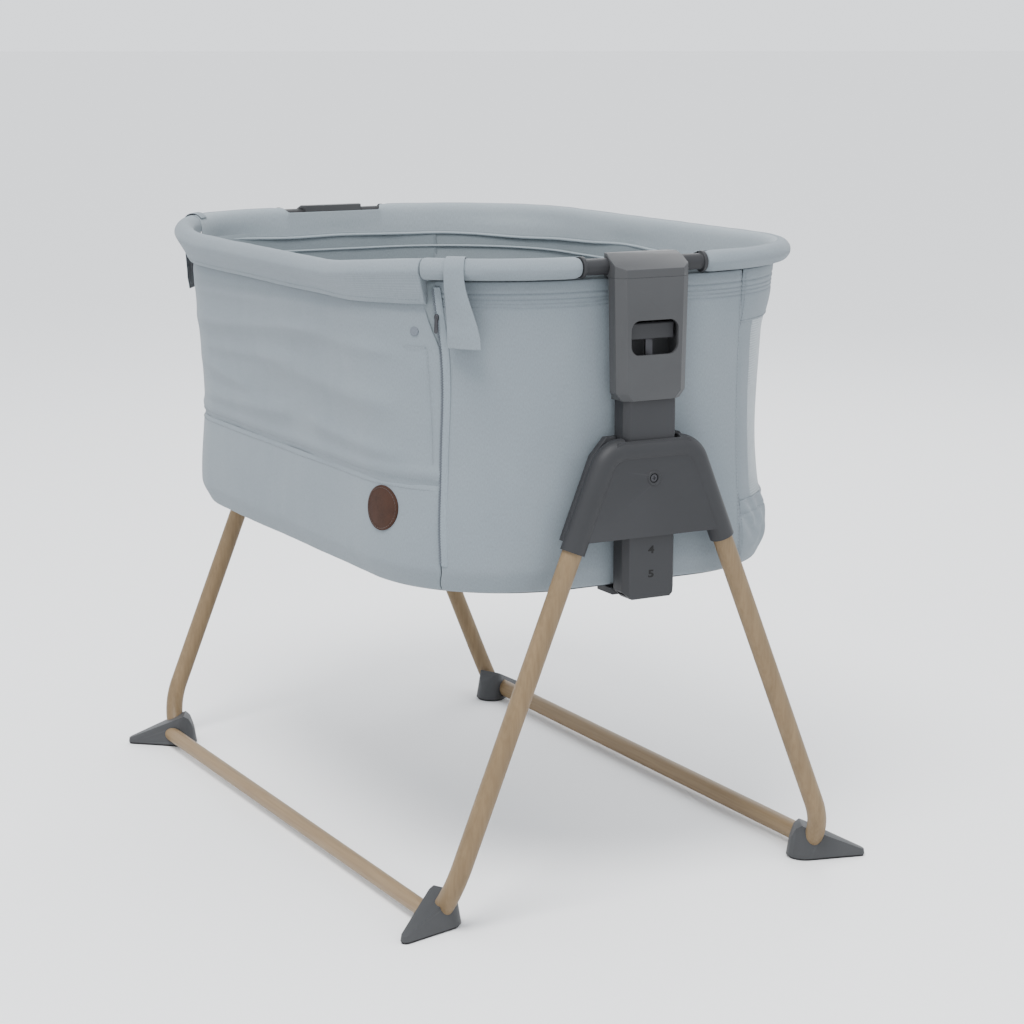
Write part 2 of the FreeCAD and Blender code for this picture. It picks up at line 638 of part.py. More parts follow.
right_height_tube = node(height_tube("right_height_tube"), "right_height_tube")
mirrored(right_height_tube, "left_height_tube", ALONG)


def base_shoe(label):
    """A tongue under the basket base, joined to the tube by a neck narrow enough for the back plate."""
    body = new_body(label)
    plan = sketch_on(body, "XY_Plane", "column_bottom")
    polygon(plan, [("shoe_inner + 6", "0 - shoe_half"), ("shoe_outer", "0 - shoe_half"),
                   ("shoe_outer", "0 - shoe_neck_half"), ("column_back", "0 - shoe_neck_half"),
                   ("column_back", "shoe_neck_half"), ("shoe_outer", "shoe_neck_half"),
                   ("shoe_outer", "shoe_half"), ("shoe_inner + 6", "shoe_half"),
                   ("shoe_inner", "shoe_half - 6"), ("shoe_inner", "0 - ( shoe_half - 6 )")])
    pad(body, plan, "shoe_thickness")
    return body


right_base_shoe = node(base_shoe("right_base_shoe"), "right_base_shoe")
mirrored(right_base_shoe, "left_base_shoe", ALONG)


def bolt_guide(label):
    """A block inside the tube in which the lock bolt slides."""
    outer = block("column_back + column_wall", "column_back + column_wall + 7", "bolt_side - 8",
                  "column_half - column_wall", "bolt_level - 10", "bolt_level + 10")
    place = Placement(Vector(size("column_back") - 5, size("bolt_side"), size("bolt_level")),
                      Rotation(Vector(0, 1, 0), 90))
    return boolean("Cut", outer, [rod("bolt_radius + 0.1", "40", place)])


right_bolt_guide = node(bolt_guide("right_bolt_guide"), "right_bolt_guide")
mirrored(right_bolt_guide, "left_bolt_guide", ALONG)


def lock_bolt(label):
    """A round bolt with a chamfered tip, in line with the back plate's slot."""
    body = new_body(label)
    section = sketch_on(body, "XY_Plane")
    polygon(section, [("bolt_tip", "0"), ("bolt_tail", "0"), ("bolt_tail", "bolt_radius"),
                      ("bolt_tip + 1", "bolt_radius"), ("bolt_tip", "bolt_radius - 1")])
    turned = body.newObject("PartDesign::Revolution", "Revolution")
    turned.Profile = section
    turned.ReferenceAxis = (section, ["H_Axis"])
    turned.Angle = 360
    body.Tip = turned
    body.setExpression("Placement.Base.y", cell("bolt_side"))
    body.setExpression("Placement.Base.z", cell("bolt_level"))
    doc.recompute()
    return body


right_lock_bolt = node(lock_bolt("right_lock_bolt"), "right_lock_bolt")
mirrored(right_lock_bolt, "left_lock_bolt", ALONG)


# ---- housings, caps and release levers -------------------------------------------------------

def housing_section(sketch, half, front, bevel="housing_bevel"):
    polygon(sketch, [("housing_back", "0 - housing_back_half"), ("housing_shoulder_back", f"0 - {half}"),
                     ("housing_shoulder", f"0 - {half}"), (front, f"0 - ( {half} - {bevel} )"),
                     (front, f"{half} - {bevel}"), ("housing_shoulder", half),
                     ("housing_shoulder_back", half), ("housing_back", "housing_back_half")])


def housing(label):
    body = new_body(label)
    sections = []
    for level, half, front in (("housing_foot", "housing_half_foot", "housing_front - 1.5"),
                               ("housing_low", "housing_half_low", "housing_front"),
                               ("housing_top", "housing_half_top", "housing_front")):
        section = sketch_on(body, "XY_Plane", level)
        housing_section(section, half, front)
        sections.append(section)
    loft = body.newObject("PartDesign::AdditiveLoft", "Loft")
    loft.Profile = sections[0]
    loft.Sections = sections[1:]
    loft.Ruled = True
    body.Tip = loft
    doc.recompute()
    socket = sketch_on(body, "XY_Plane", "housing_foot")
    column_section(socket, "0.05")
    pocket(body, socket, "column_top - housing_foot", reverse=True)
    chamber = sketch_on(body, "XY_Plane", "column_top")
    polygon(chamber, [("chamber_back", "0 - chamber_half"), ("chamber_front", "0 - chamber_half"),
                      ("chamber_front", "chamber_half"), ("chamber_back", "chamber_half")])
    pocket(body, chamber, "chamber_roof - column_top", reverse=True)
    slot = sketch_on(body, "YZ_Plane", "housing_front")
    rounded_box(slot, "slot_half", "( slot_high - slot_low ) / 2", "slot_corner",
                "( slot_high + slot_low ) / 2")
    pocket(body, slot, "housing_front - chamber_front + 1")
    return body


right_housing = node(housing("right_housing"), "right_housing")
mirrored(right_housing, "left_housing", ALONG)


def rail_place():
    start = Vector(size("rail_plane"), -size("rail_half"), size("rail_level"))
    return Placement(start, Rotation(Vector(1, 0, 0), -90))


def cap(label):
    """A saddle over the rim rail, with a roof that slopes down to the front."""
    body = new_body(label + "_body")
    plan = sketch_on(body, "XY_Plane", "housing_top")
    polygon(plan, [("cap_back", "0 - cap_back_half"), ("housing_shoulder_back", "0 - housing_half_top"),
                   ("housing_shoulder", "0 - housing_half_top"),
                   ("housing_front", "0 - ( housing_half_top - housing_bevel )"),
                   ("housing_front", "housing_half_top - housing_bevel"),
                   ("housing_shoulder", "housing_half_top"), ("housing_shoulder_back", "housing_half_top"),
                   ("cap_back", "cap_back_half")])
    pad(body, plan, "cap_top - housing_top")
    side = sketch_on(body, "XZ_Plane")
    polygon(side, [("cap_ridge", "cap_top"), ("housing_front", "cap_front_level"),
                   ("housing_front + 9", "cap_front_level"), ("housing_front + 9", "cap_top + 9"),
                   ("cap_ridge", "cap_top + 9")])
    pocket(body, side, "200", middle=True)
    bore = rod("rail_radius + rail_clearance", "2 * rail_half", rail_place())
    return boolean("Cut", body, [bore])


right_cap = node(cap("right_cap"), "right_cap")
mirrored(right_cap, "left_cap", ALONG)


def release_lever(label):
    """A finger bar in the upper part of the housing's slot, with a curled lower lip."""
    body = new_body(label)
    side = sketch_on(body, "XZ_Plane")
    polygon(side, [("lever_back", "lever_low + 6"), ("lever_front - 5", "lever_low + 6"),
                   ("lever_front - 5", "lever_low"), ("lever_front", "lever_low + 1"),
                   ("lever_front", "lever_high - 2"), ("lever_front - 2", "lever_high"),
                   ("lever_back", "lever_high")])
    pad(body, side, "2 * lever_half", middle=True)
    return body


right_release_lever = node(release_lever("right_release_lever"), "right_release_lever")
mirrored(right_release_lever, "left_release_lever", ALONG)


def pull_rod(label):
    """A flat strip that hangs from the lever inside the tube, with a crank out to the bolt."""
    strip = block("rod_back", "rod_front", "0 - rod_half", "rod_half", "rod_low", "lever_low + 6")
    crank = block("rod_back", "rod_front", "rod_half", "bolt_side + rod_half", "rod_low", "rod_low + 12")
    return boolean("MultiFuse", strip, [crank])


right_pull_rod = node(pull_rod("right_pull_rod"), "right_pull_rod")
mirrored(right_pull_rod, "left_pull_rod", ALONG)


# ---- rim of the basket -----------------------------------------------------------------------

def rim_rail(label):
    """The bare dark rail between the padded ends, with a collar at each end of its free length."""
    body = new_body(label)
    outer = sketch_on(body, "XZ_Plane")
    circle(outer, "rail_plane", "rail_level", "rail_radius")
    pad(body, outer, "2 * rail_half", middle=True)
    for offset in ("0 - collar_high", "collar_low"):
        collar = sketch_on(body, "XZ_Plane", offset)
        circle(collar, "rail_plane", "rail_level", "collar_radius")
        pad(body, collar, "collar_high - collar_low")
    bore = sketch_on(body, "XZ_Plane", "rail_half")
    circle(bore, "rail_plane", "rail_level", "rail_bore")
    pocket(body, bore, "2 * rail_half")
    return body


right_rim_rail = node(rim_rail("right_rim_rail"), "right_rim_rail")
mirrored(right_rim_rail, "left_rim_rail", ALONG)

ARC_CENTRE_X = "rail_plane - rim_corner"
ARC_CENTRE_SIDE = "rim_half_width - rim_corner"
ZIP_TURN = "acos((zip_plane - rail_plane + rim_corner) / rim_corner)"


def rim_point(degrees):
    """A point on the rim's right front corner arc, by its angle from the end's straight run."""
    centre = Vector(value_of(ARC_CENTRE_X), -value_of(ARC_CENTRE_SIDE), 0)
    angle = math.radians(degrees)
    return centre + Vector(math.cos(angle), -math.sin(angle), 0) * size("rim_corner")


def rim_arc(sketch, first_degrees, last_degrees, sign):
    """Part of a corner arc of the rim: sign -1 for the front corner and +1 for the back corner."""
    middle = (first_degrees + last_degrees) / 2
    places = [rim_point(angle) for angle in (first_degrees, middle, last_degrees)]
    places = [Vector(place.x, -sign * place.y, 0) for place in places]
    index = sketch.addGeometry(Part.Arc(*places), False)
    limit = sketch.addConstraint(Sketcher.Constraint("Radius", index, size("rim_corner")))
    sketch.setExpression(f"Constraints[{limit}]", cell("rim_corner"))
    pin_point(sketch, index, 3, ARC_CENTRE_X, f"{sign} * ({ARC_CENTRE_SIDE})")
    return index


def back_rim(label, outer, inner, start):
    """A tube along the back of the rim and both back corners, as far as the end rails."""
    body = new_body(label)
    path = sketch_on(body, "XY_Plane")
    far, wide, bend = size("rail_plane"), size("rim_half_width"), size("rim_corner")
    path.addGeometry(Part.LineSegment(Vector(0, wide, 0), Vector(far - bend, wide, 0)), False)
    rim_arc(path, 0, 90, 1)
    path.addGeometry(Part.LineSegment(Vector(far, wide - bend, 0), Vector(far, value_of(start), 0)), False)
    path.addConstraint(Sketcher.Constraint("Coincident", 0, 2, 1, 2))
    path.addConstraint(Sketcher.Constraint("Coincident", 1, 1, 2, 1))
    pin_point(path, 0, 1, "0", "rim_half_width")
    pin_point(path, 2, 2, "rail_plane", start)
    section = sketch_on(body, "YZ_Plane")
    ring(section, "rim_half_width", "0", outer, inner)
    mirror_feature(body, pipe(body, section, path), "YZ_Plane")
    body.setExpression("Placement.Base.z", cell("rail_level"))
    doc.recompute()
    return body


def front_corner_rim(label, outer, inner, start):
    """A tube from the end rail round the front corner, as far as the zip."""
    body = new_body(label)
    path = sketch_on(body, "XY_Plane")
    far, side = size("rail_plane"), value_of(ARC_CENTRE_SIDE)
    path.addGeometry(Part.LineSegment(Vector(far, -value_of(start), 0), Vector(far, -side, 0)), False)
    rim_arc(path, 0, value_of(ZIP_TURN) - size("zip_gap"), -1)
    path.addConstraint(Sketcher.Constraint("Coincident", 0, 2, 1, 2))
    pin_point(path, 0, 1, "rail_plane", f"0 - ( {start} )")
    section = sketch_on(body, "XZ_Plane", start)
    ring(section, "rail_plane", "0", outer, inner)
    pipe(body, section, path)
    body.setExpression("Placement.Base.z", cell("rail_level"))
    doc.recompute()
    return body


def front_rim(label, outer):
    """The padded top edge of the drop side, from zip to zip."""
    body = new_body(label)
    path = sketch_on(body, "XY_Plane")
    wide, straight = size("rim_half_width"), value_of(ARC_CENTRE_X)
    path.addGeometry(Part.LineSegment(Vector(0, -wide, 0), Vector(straight, -wide, 0)), False)
    rim_arc(path, value_of(ZIP_TURN) + size("zip_gap"), 90, -1)
    path.addConstraint(Sketcher.Constraint("Coincident", 0, 2, 1, 1))
    pin_point(path, 0, 1, "0", "0 - rim_half_width")
    section = sketch_on(body, "YZ_Plane")
    circle(section, "0 - rim_half_width", "0", outer)
    mirror_feature(body, pipe(body, section, path), "YZ_Plane")
    body.setExpression("Placement.Base.z", cell("front_pad_level"))
    doc.recompute()
    return body


TUBE_BORE = "rim_tube_radius - tube_wall"
node(back_rim("back_rim_tube", "rim_tube_radius", TUBE_BORE, "rim_tube_start"), "back_rim_tube")
node(back_rim("back_rim_pad", "pad_radius", "rim_tube_radius + 0.05", "collar_high + 0.3"), "back_rim_pad")
right_corner_tube = node(
    front_corner_rim("right_corner_tube", "rim_tube_radius", TUBE_BORE, "rim_tube_start"), "right_corner_tube")
mirrored(right_corner_tube, "left_corner_tube", ALONG)
right_corner_pad = node(
    front_corner_rim("right_corner_pad", "pad_radius", "rim_tube_radius + 0.05", "collar_high + 0.3"),
    "right_corner_pad")
mirrored(right_corner_pad, "left_corner_pad", ALONG)
node(front_rim("front_rim_pad", "front_pad_radius"), "front_rim_pad")


# ---- fabric walls ----------------------------------------------------------------------------

def wall_loft(offset):
    """A solid bounded by the walls' outer surface, moved outward by an offset."""
    sections = []
    for level, *values in WALL_LEVELS:
        sketch = doc.addObject("Sketcher::SketchObject", "WallSection")
        rounded_box(sketch, f"({level}_length + {offset})", f"({level}_width + {offset})",
                    f"({level}_corner + {offset})")
        sketch.setExpression("Placement.Base.z", cell(f"{level}_level"))
        sections.append(sketch)
    loft = doc.addObject("Part::Loft", "WallLoft")
    loft.Sections = sections
    loft.Solid = True
    loft.Ruled = False
    doc.recompute()
    return loft


wall_outer = wall_loft("0")
wall_shell = boolean("Cut", wall_outer, [wall_loft("(0 - wall_thickness)")])
trim_shell = boolean("Cut", wall_loft("trim_thickness + trim_gap"), [wall_loft("trim_gap")])

right_end_wall = node(boolean("Common", wall_shell, [
    block("zip_plane + zip_gap", FAR, f"0 - {FAR}", "back_seam - zip_gap", 0, "2 * rail_level")]), "right_end_wall")
mirrored(right_end_wall, "left_end_wall", ALONG)
node(boolean("Common", wall_shell, [
    block(f"0 - {FAR}", FAR, "back_seam", FAR, 0, "2 * rail_level")]), "back_wall")
FRONT_SPAN = ("zip_gap - zip_plane", "zip_plane - zip_gap", f"0 - {FAR}", "0 - board_corner")
node(boolean("Common", wall_shell, [block(*FRONT_SPAN, 0, "drop_seam - zip_gap")]), "front_lower_wall")
node(boolean("Common", wall_shell, [block(*FRONT_SPAN, "drop_seam + zip_gap", "panel_top")]), "front_panel")

right_side_zip = node(boolean("Common", trim_shell, [
    block("zip_plane + 1", "zip_plane + 1 + zip_width", f"0 - {FAR}", 0, "base_level", "rail_level - 20")]),
    "right_side_zip")
mirrored(right_side_zip, "left_side_zip", ALONG)
right_corner_tab = node(boolean("Common", trim_shell, [
    block("zip_plane + tab_start", "zip_plane + tab_start + tab_width", f"0 - {FAR}", 0,
          "tab_low", "rail_level - 20")]),
    "right_corner_tab")
mirrored(right_corner_tab, "left_corner_tab", ALONG)
patch_start = Vector(size("patch_x"), 0, size("patch_level"))
node(boolean("Common", trim_shell, [
    rod("patch_radius", str(FAR), Placement(patch_start, Rotation(Vector(1, 0, 0), 90)))]), "round_patch")


# ---- base board and mattress -----------------------------------------------------------------

def slab(label, low, high, inset):
    body = new_body(label)
    plan = sketch_on(body, "XY_Plane", low)
    rounded_box(plan, f"(board_half_length - {inset})", f"(board_half_width - {inset})",
                f"(board_corner - {inset})")
    pad(body, plan, f"{high} - ({low})")
    return body


node(slab("base_board", "board_low", "board_high", "0"), "base_board")
node(slab("mattress", "board_high + 0.4", "mattress_high", "mattress_inset"), "mattress")


# ---- check and export ------------------------------------------------------------------------

doc.recompute()
for item in doc.Objects:
    if "Invalid" in item.State or "Error" in item.State:
        raise RuntimeError(f"{item.Label} failed: {item.State}")
os.makedirs("parts", exist_ok=True)
for piece in NODES:
    shape = piece.Shape
    if shape.isNull() or not shape.isValid() or not shape.Solids:
        raise RuntimeError(f"{piece.Label} has no valid solid")
    shape.exportStep(f"parts/{piece.Label}.step")
print(f"{len(NODES)} sub-parts written")
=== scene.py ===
import math

import bpy
from mathutils import Matrix, Vector, noise


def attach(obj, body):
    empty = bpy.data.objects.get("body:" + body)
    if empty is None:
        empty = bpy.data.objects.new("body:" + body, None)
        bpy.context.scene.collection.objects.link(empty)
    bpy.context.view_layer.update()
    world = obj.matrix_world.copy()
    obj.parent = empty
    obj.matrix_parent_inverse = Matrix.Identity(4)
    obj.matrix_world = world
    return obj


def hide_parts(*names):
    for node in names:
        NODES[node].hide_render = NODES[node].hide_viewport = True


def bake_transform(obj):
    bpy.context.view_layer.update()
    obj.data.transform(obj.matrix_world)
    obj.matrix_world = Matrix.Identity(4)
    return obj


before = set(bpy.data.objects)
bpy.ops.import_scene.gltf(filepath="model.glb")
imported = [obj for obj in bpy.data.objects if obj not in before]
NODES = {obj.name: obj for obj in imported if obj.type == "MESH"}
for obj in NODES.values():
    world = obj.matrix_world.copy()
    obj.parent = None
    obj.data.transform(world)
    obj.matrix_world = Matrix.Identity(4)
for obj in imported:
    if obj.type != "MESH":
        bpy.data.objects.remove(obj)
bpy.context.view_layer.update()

# The bassinet's looks.  Metres, in the CAD frame: +X along the length, -Y the front that drops, +Z up.
# Cloth pieces are built on one surface that takes the CAD walls' sizes at five levels; between those
# levels it runs up to 5 mm inside or outside the CAD's smooth walls.

PI = math.pi
SIDES = (("right", 1), ("left", -1))


# ---- camera, floor and light -----------------------------------------------------------------

def set_camera():
    """The camera's own axes and its place, worked out from the object's straight tubes and feet."""
    right = Vector((0.47580, 0.87952, -0.00042))
    up = Vector((-0.17089, 0.09291, 0.98090))
    back = Vector((0.86279, -0.46664, 0.19451))
    place = Vector((2.98368, -1.54559, 1.07722))
    camera = bpy.data.objects.new("camera", bpy.data.cameras.new("camera"))
    camera.data.sensor_width = 36.0
    camera.data.lens = 86.48
    camera.data.clip_end = 100
    matrix = Matrix((right, up, back)).transposed().to_4x4()
    matrix.translation = place
    camera.matrix_world = matrix
    bpy.context.scene.collection.objects.link(camera)
    bpy.context.scene.camera = camera


def area_light(name, place, target, size, power, tint=(1, 1, 1)):
    light = bpy.data.lights.new(name, "AREA")
    light.shape = "DISK"
    light.size = size
    light.energy = power
    light.color = tint
    lamp = bpy.data.objects.new(name, light)
    lamp.location = place
    lamp.rotation_euler = (Vector(target) - Vector(place)).to_track_quat("-Z", "Y").to_euler()
    bpy.context.scene.collection.objects.link(lamp)


def set_light():
    world = bpy.data.worlds.new("studio")
    bpy.context.scene.world = world
    world.use_nodes = True
    background = world.node_tree.nodes["Background"]
    background.inputs["Color"].default_value = (0.93, 0.96, 1.0, 1)
    background.inputs["Strength"].default_value = 1.7
    area_light("key", (1.5, -1.5, 4.2), (0, 0, 0.5), 1.9, 212)
    area_light("fill", (4.0, 1.2, 2.2), (0, 0, 0.5), 3.0, 10)
    area_light("rim", (-2.6, 2.4, 3.2), (0, 0, 0.6), 2.2, 55)


# ---- materials -------------------------------------------------------------------------------

class Finish:
    """A node material that is put together one node at a time."""

    def __init__(self, name):
        self.material = bpy.data.materials.new(name)
        self.material.use_nodes = True
        self.tree = self.material.node_tree
        self.shader = self.tree.nodes["Principled BSDF"]

    def node(self, kind, settings=None, **inputs):
        made = self.tree.nodes.new(kind)
        for key, value in (settings or {}).items():
            setattr(made, key, value)
        for key, value in inputs.items():
            self.put(made.inputs[key.replace("_", " ")], value)
        return made

    def put(self, socket, value):
        if isinstance(value, bpy.types.NodeSocket):
            self.tree.links.new(value, socket)
        elif isinstance(value, bpy.types.Node):
            self.tree.links.new(value.outputs[0], socket)
        else:
            socket.default_value = value

    def set(self, **inputs):
        for key, value in inputs.items():
            self.put(self.shader.inputs[key.replace("_", " ")], value)

    def place(self, scale=(1, 1, 1), turn=(0, 0, 0), uv=False):
        """Texture coordinates in metres: along the cloth, or in space."""
        source = self.node("ShaderNodeTexCoord").outputs["UV" if uv else "Object"]
        return self.node("ShaderNodeMapping", Vector=source, Scale=scale, Rotation=turn)

    def noise(self, where, scale, detail=2.0, rough=0.5):
        return self.node("ShaderNodeTexNoise", Vector=where, Scale=scale, Detail=detail, Roughness=rough)

    def math(self, kind, first, second=0.0, third=None):
        made = self.tree.nodes.new("ShaderNodeMath")
        made.operation = kind
        for number, value in enumerate((first, second) if third is None else (first, second, third)):
            self.put(made.inputs[number], value)
        return made

    def ramp(self, value, low, high, start=0.0, stop=1.0):
        """Two colours blended by a value between start and stop."""
        made = self.node("ShaderNodeValToRGB", Fac=value)
        stops = made.color_ramp.elements
        stops[0].position, stops[1].position = start, stop
        stops[0].color, stops[1].color = (*low, 1), (*high, 1)
        return made

    def mix(self, share, first, second, kind="MIX"):
        made = self.node("ShaderNodeMix", {"data_type": "RGBA", "blend_type": kind})
        for socket, value in zip((made.inputs["Factor"], made.inputs[6], made.inputs[7]),
                                 (share, first, second)):
            self.put(socket, value if not isinstance(value, tuple) else (*value, 1))
        return made.outputs[2]

    def bump(self, height, strength, distance, below=None):
        made = self.node("ShaderNodeBump", Height=height, Strength=strength, Distance=distance)
        if below is not None:
            self.put(made.inputs["Normal"], below)
        return made


def tinted(colour, factor):
    return tuple(min(1.0, part * factor) for part in colour)


def woven(name, colour, pitch=0.0011, sheen=0.10, contrast=0.10, uv=True, depth=0.00025):
    """Plain-woven cloth: crossing yarns, flecked yarn colour, slow fading and a soft sheen."""
    made = Finish(name)
    where = made.place(uv=uv)
    waves = []
    for axis, phase in (("X", 0.0), ("Y", PI / 2)):
        waves.append(made.node("ShaderNodeTexWave", {"bands_direction": axis}, Vector=where,
                               Scale=2 * PI / (20 * pitch), Distortion=0.6, Detail=1.0,
                               Detail_Scale=2.0, Phase_Offset=phase))
    weave = made.math("MULTIPLY", waves[0].outputs["Fac"], waves[1].outputs["Fac"])
    flecks = made.noise(made.place((900, 260, 900), uv=uv), 1.0, 3.0, 0.7)
    fade = made.noise(where, 5.0, 3.0, 0.55)
    base = made.ramp(flecks.outputs["Fac"], tinted(colour, 1 - contrast), tinted(colour, 1 + contrast),
                     0.3, 0.7)
    faded = made.ramp(fade.outputs["Fac"], (0.93, 0.94, 0.95), (1.0, 1.0, 1.0), 0.35, 0.65)
    shade = made.mix(1.0, base.outputs["Color"], faded.outputs["Color"], "MULTIPLY")
    valley = made.ramp(weave, (0.86, 0.87, 0.88), (1, 1, 1), 0.0, 0.35)
    shade = made.mix(1.0, shade, valley.outputs["Color"], "MULTIPLY")
    puckers = made.bump(made.noise(where, 55.0, 3.0, 0.6).outputs["Fac"], 0.25, 0.002)
    made.set(Base_Color=shade, Roughness=0.88, Sheen_Weight=sheen, Sheen_Roughness=0.45,
             Specular_IOR_Level=0.25, Normal=made.bump(weave, 0.5, depth, puckers))
    return made.material


def net(name, colour, pitch=0.0032, open_share=0.42):
    """Knitted mesh: round holes in a hexagonal net, seen as part air."""
    made = Finish(name)
    where = made.place((1, 1, 0), uv=True)
    cells = made.node("ShaderNodeTexVoronoi", {"feature": "DISTANCE_TO_EDGE"}, Vector=where,
                      Scale=1 / pitch, Randomness=0.25)
    thread = made.ramp(cells.outputs["Distance"], (1, 1, 1), (0, 0, 0), 0.12, 0.20)
    solid = made.math("MULTIPLY_ADD", thread, open_share, 1 - open_share)
    tone = made.noise(where, 40.0, 3.0, 0.6)
    base = made.ramp(tone.outputs["Fac"], tinted(colour, 0.92), tinted(colour, 1.06), 0.3, 0.7)
    made.set(Base_Color=base, Alpha=solid, Roughness=0.8, Sheen_Weight=0.25, Specular_IOR_Level=0.3,
             Normal=made.bump(thread, 0.6, 0.0003))
    return made.material


def moulded(name, colour, roughness=0.5, grain=2600.0, wear=0.35):
    """Spark-eroded plastic: fine grain, uneven gloss, and corners that are rubbed paler."""
    made = Finish(name)
    where = made.place()
    fine = made.noise(where, grain, 2.0, 0.6)
    broad = made.noise(where, 9.0, 4.0, 0.6)
    edge = made.node("ShaderNodeNewGeometry").outputs["Pointiness"]
    rubbed = made.ramp(edge, (0, 0, 0), (1, 1, 1), 0.515, 0.60)
    patchy = made.math("MULTIPLY", rubbed, made.math("MULTIPLY", broad.outputs["Fac"], wear))
    tone = made.ramp(broad.outputs["Fac"], tinted(colour, 0.92), tinted(colour, 1.08), 0.3, 0.7)
    shade = made.mix(patchy, tone.outputs["Color"], tinted(colour, 2.2))
    gloss = made.node("ShaderNodeMapRange", Value=broad.outputs["Fac"], To_Min=roughness - 0.06,
                      To_Max=roughness + 0.08)
    made.set(Base_Color=shade, Roughness=gloss, Specular_IOR_Level=0.28,
             Normal=made.bump(fine.outputs["Fac"], 0.35, 0.00012))
    return made.material


def wood_paint(name, colour, turn=(0, 0, 0), stretch=(70, 70, 2.2)):
    """Tubes printed with a pale wood grain under a satin coat."""
    made = Finish(name)
    where = made.place(stretch, turn)
    long = made.noise(where, 1.0, 5.0, 0.62)
    fine = made.noise(made.place(tuple(part * 5 for part in stretch), turn), 1.0, 3.0, 0.6)
    broad = made.noise(made.place(tuple(part * 0.16 for part in stretch), turn), 1.0, 2.0, 0.5)
    base = made.ramp(long.outputs["Fac"], tinted(colour, 0.86), tinted(colour, 1.08), 0.32, 0.66)
    lines = made.ramp(fine.outputs["Fac"], (0.90, 0.87, 0.83), (1.03, 1.02, 1.0), 0.35, 0.6)
    drift = made.ramp(broad.outputs["Fac"], (0.93, 0.91, 0.88), (1.04, 1.03, 1.02), 0.35, 0.65)
    shade = made.mix(1.0, base.outputs["Color"], lines.outputs["Color"], "MULTIPLY")
    shade = made.mix(1.0, shade, drift.outputs["Color"], "MULTIPLY")
    made.set(Base_Color=shade, Roughness=0.5, Specular_IOR_Level=0.25, Coat_Weight=0.05,
             Coat_Roughness=0.35, Normal=made.bump(fine.outputs["Fac"], 0.12, 0.0002))
    return made.material


def leather(name, colour):
    made = Finish(name)
    where = made.place()
    cells = made.node("ShaderNodeTexVoronoi", {"feature": "DISTANCE_TO_EDGE"}, Vector=where, Scale=700.0)
    pebble = made.ramp(cells.outputs["Distance"], (0, 0, 0), (1, 1, 1), 0.0, 0.25)
    tone = made.noise(where, 60.0, 4.0, 0.6)
    base = made.ramp(tone.outputs["Fac"], tinted(colour, 0.82), tinted(colour, 1.15), 0.3, 0.7)
    shade = made.mix(0.35, base.outputs["Color"], pebble.outputs["Color"], "MULTIPLY")
    made.set(Base_Color=shade, Roughness=0.6, Specular_IOR_Level=0.18,
             Normal=made.bump(pebble, 0.4, 0.0003))
    return made.material


def metal(name, colour, roughness=0.35):
    made = Finish(name)
    streaks = made.noise(made.place((40, 40, 900)), 1.0, 3.0, 0.6)
    gloss = made.node("ShaderNodeMapRange", Value=streaks.outputs["Fac"], To_Min=roughness - 0.1,
                      To_Max=roughness + 0.15)
    made.set(Base_Color=(*colour, 1), Metallic=1.0, Roughness=gloss,
             Normal=made.bump(streaks.outputs["Fac"], 0.15, 0.0002))
    return made.material


def rubber(name, colour):
    made = Finish(name)
    grit = made.noise(made.place(), 1500.0, 3.0, 0.7)
    tone = made.ramp(grit.outputs["Fac"], tinted(colour, 0.85), tinted(colour, 1.2), 0.3, 0.7)
    made.set(Base_Color=tone, Roughness=0.9, Normal=made.bump(grit.outputs["Fac"], 0.5, 0.0003))
    return made.material


def thread_finish(name, colour):
    """Twisted sewing thread."""
    made = Finish(name)
    twist = made.noise(made.place((2500, 2500, 900)), 1.0, 2.0, 0.6)
    tone = made.ramp(twist.outputs["Fac"], tinted(colour, 0.8), tinted(colour, 1.15), 0.35, 0.65)
    made.set(Base_Color=tone, Roughness=0.7, Sheen_Weight=0.3,
             Normal=made.bump(twist.outputs["Fac"], 0.4, 0.0001))
    return made.material


def knit(name, colour):
    """Jersey mattress cover: small loops in columns."""
    made = Finish(name)
    where = made.place()
    loops = made.node("ShaderNodeTexWave", {"bands_direction": "X"}, Vector=where, Scale=180.0,
                      Distortion=1.6, Detail=2.0, Detail_Scale=6.0)
    tone = made.noise(where, 14.0, 3.0, 0.6)
    base = made.ramp(tone.outputs["Fac"], tinted(colour, 0.95), tinted(colour, 1.03), 0.3, 0.7)
    dips = made.ramp(loops.outputs["Fac"], (0.93, 0.93, 0.93), (1, 1, 1), 0.1, 0.6)
    shade = made.mix(1.0, base.outputs["Color"], dips.outputs["Color"], "MULTIPLY")
    made.set(Base_Color=shade, Roughness=0.92, Sheen_Weight=0.4, Specular_IOR_Level=0.2,
             Normal=made.bump(loops.outputs["Fac"], 0.4, 0.0004))
    return made.material


CLOTH_GREY = (0.188, 0.217, 0.236)
LEG_TILT = math.atan2(0.268 - 0.064, 0.560 - 0.057)
LEG_TONE = (0.198, 0.140, 0.078)
CLOTH = woven("cloth", CLOTH_GREY)
LINING = woven("lining", (0.17, 0.197, 0.21), pitch=0.0009, sheen=0.12)
# Near-black underside sheet of the corner tabs: painted shade that stands in for the tabs' shaded inner side.
PAINTED_SHADE_LINING = woven("painted_shade_lining", (0.055, 0.06, 0.07), pitch=0.0009, sheen=0.2)
TAPE = woven("tape", (0.195, 0.228, 0.25), pitch=0.0014, sheen=0.1, depth=0.0004)
PIPING = woven("piping", (0.27, 0.31, 0.33), pitch=0.0008, sheen=0.2)
BAND = woven("band", (0.27, 0.305, 0.325), pitch=0.0009, sheen=0.12)
NET = net("net", (0.25, 0.285, 0.305))
TEETH = moulded("zip_teeth", (0.11, 0.125, 0.145), 0.4, 1800.0)
DARK = moulded("dark_plastic", (0.020, 0.0205, 0.0225), 0.55)
HOUSING = moulded("housing_plastic", (0.040, 0.041, 0.043), 0.48)
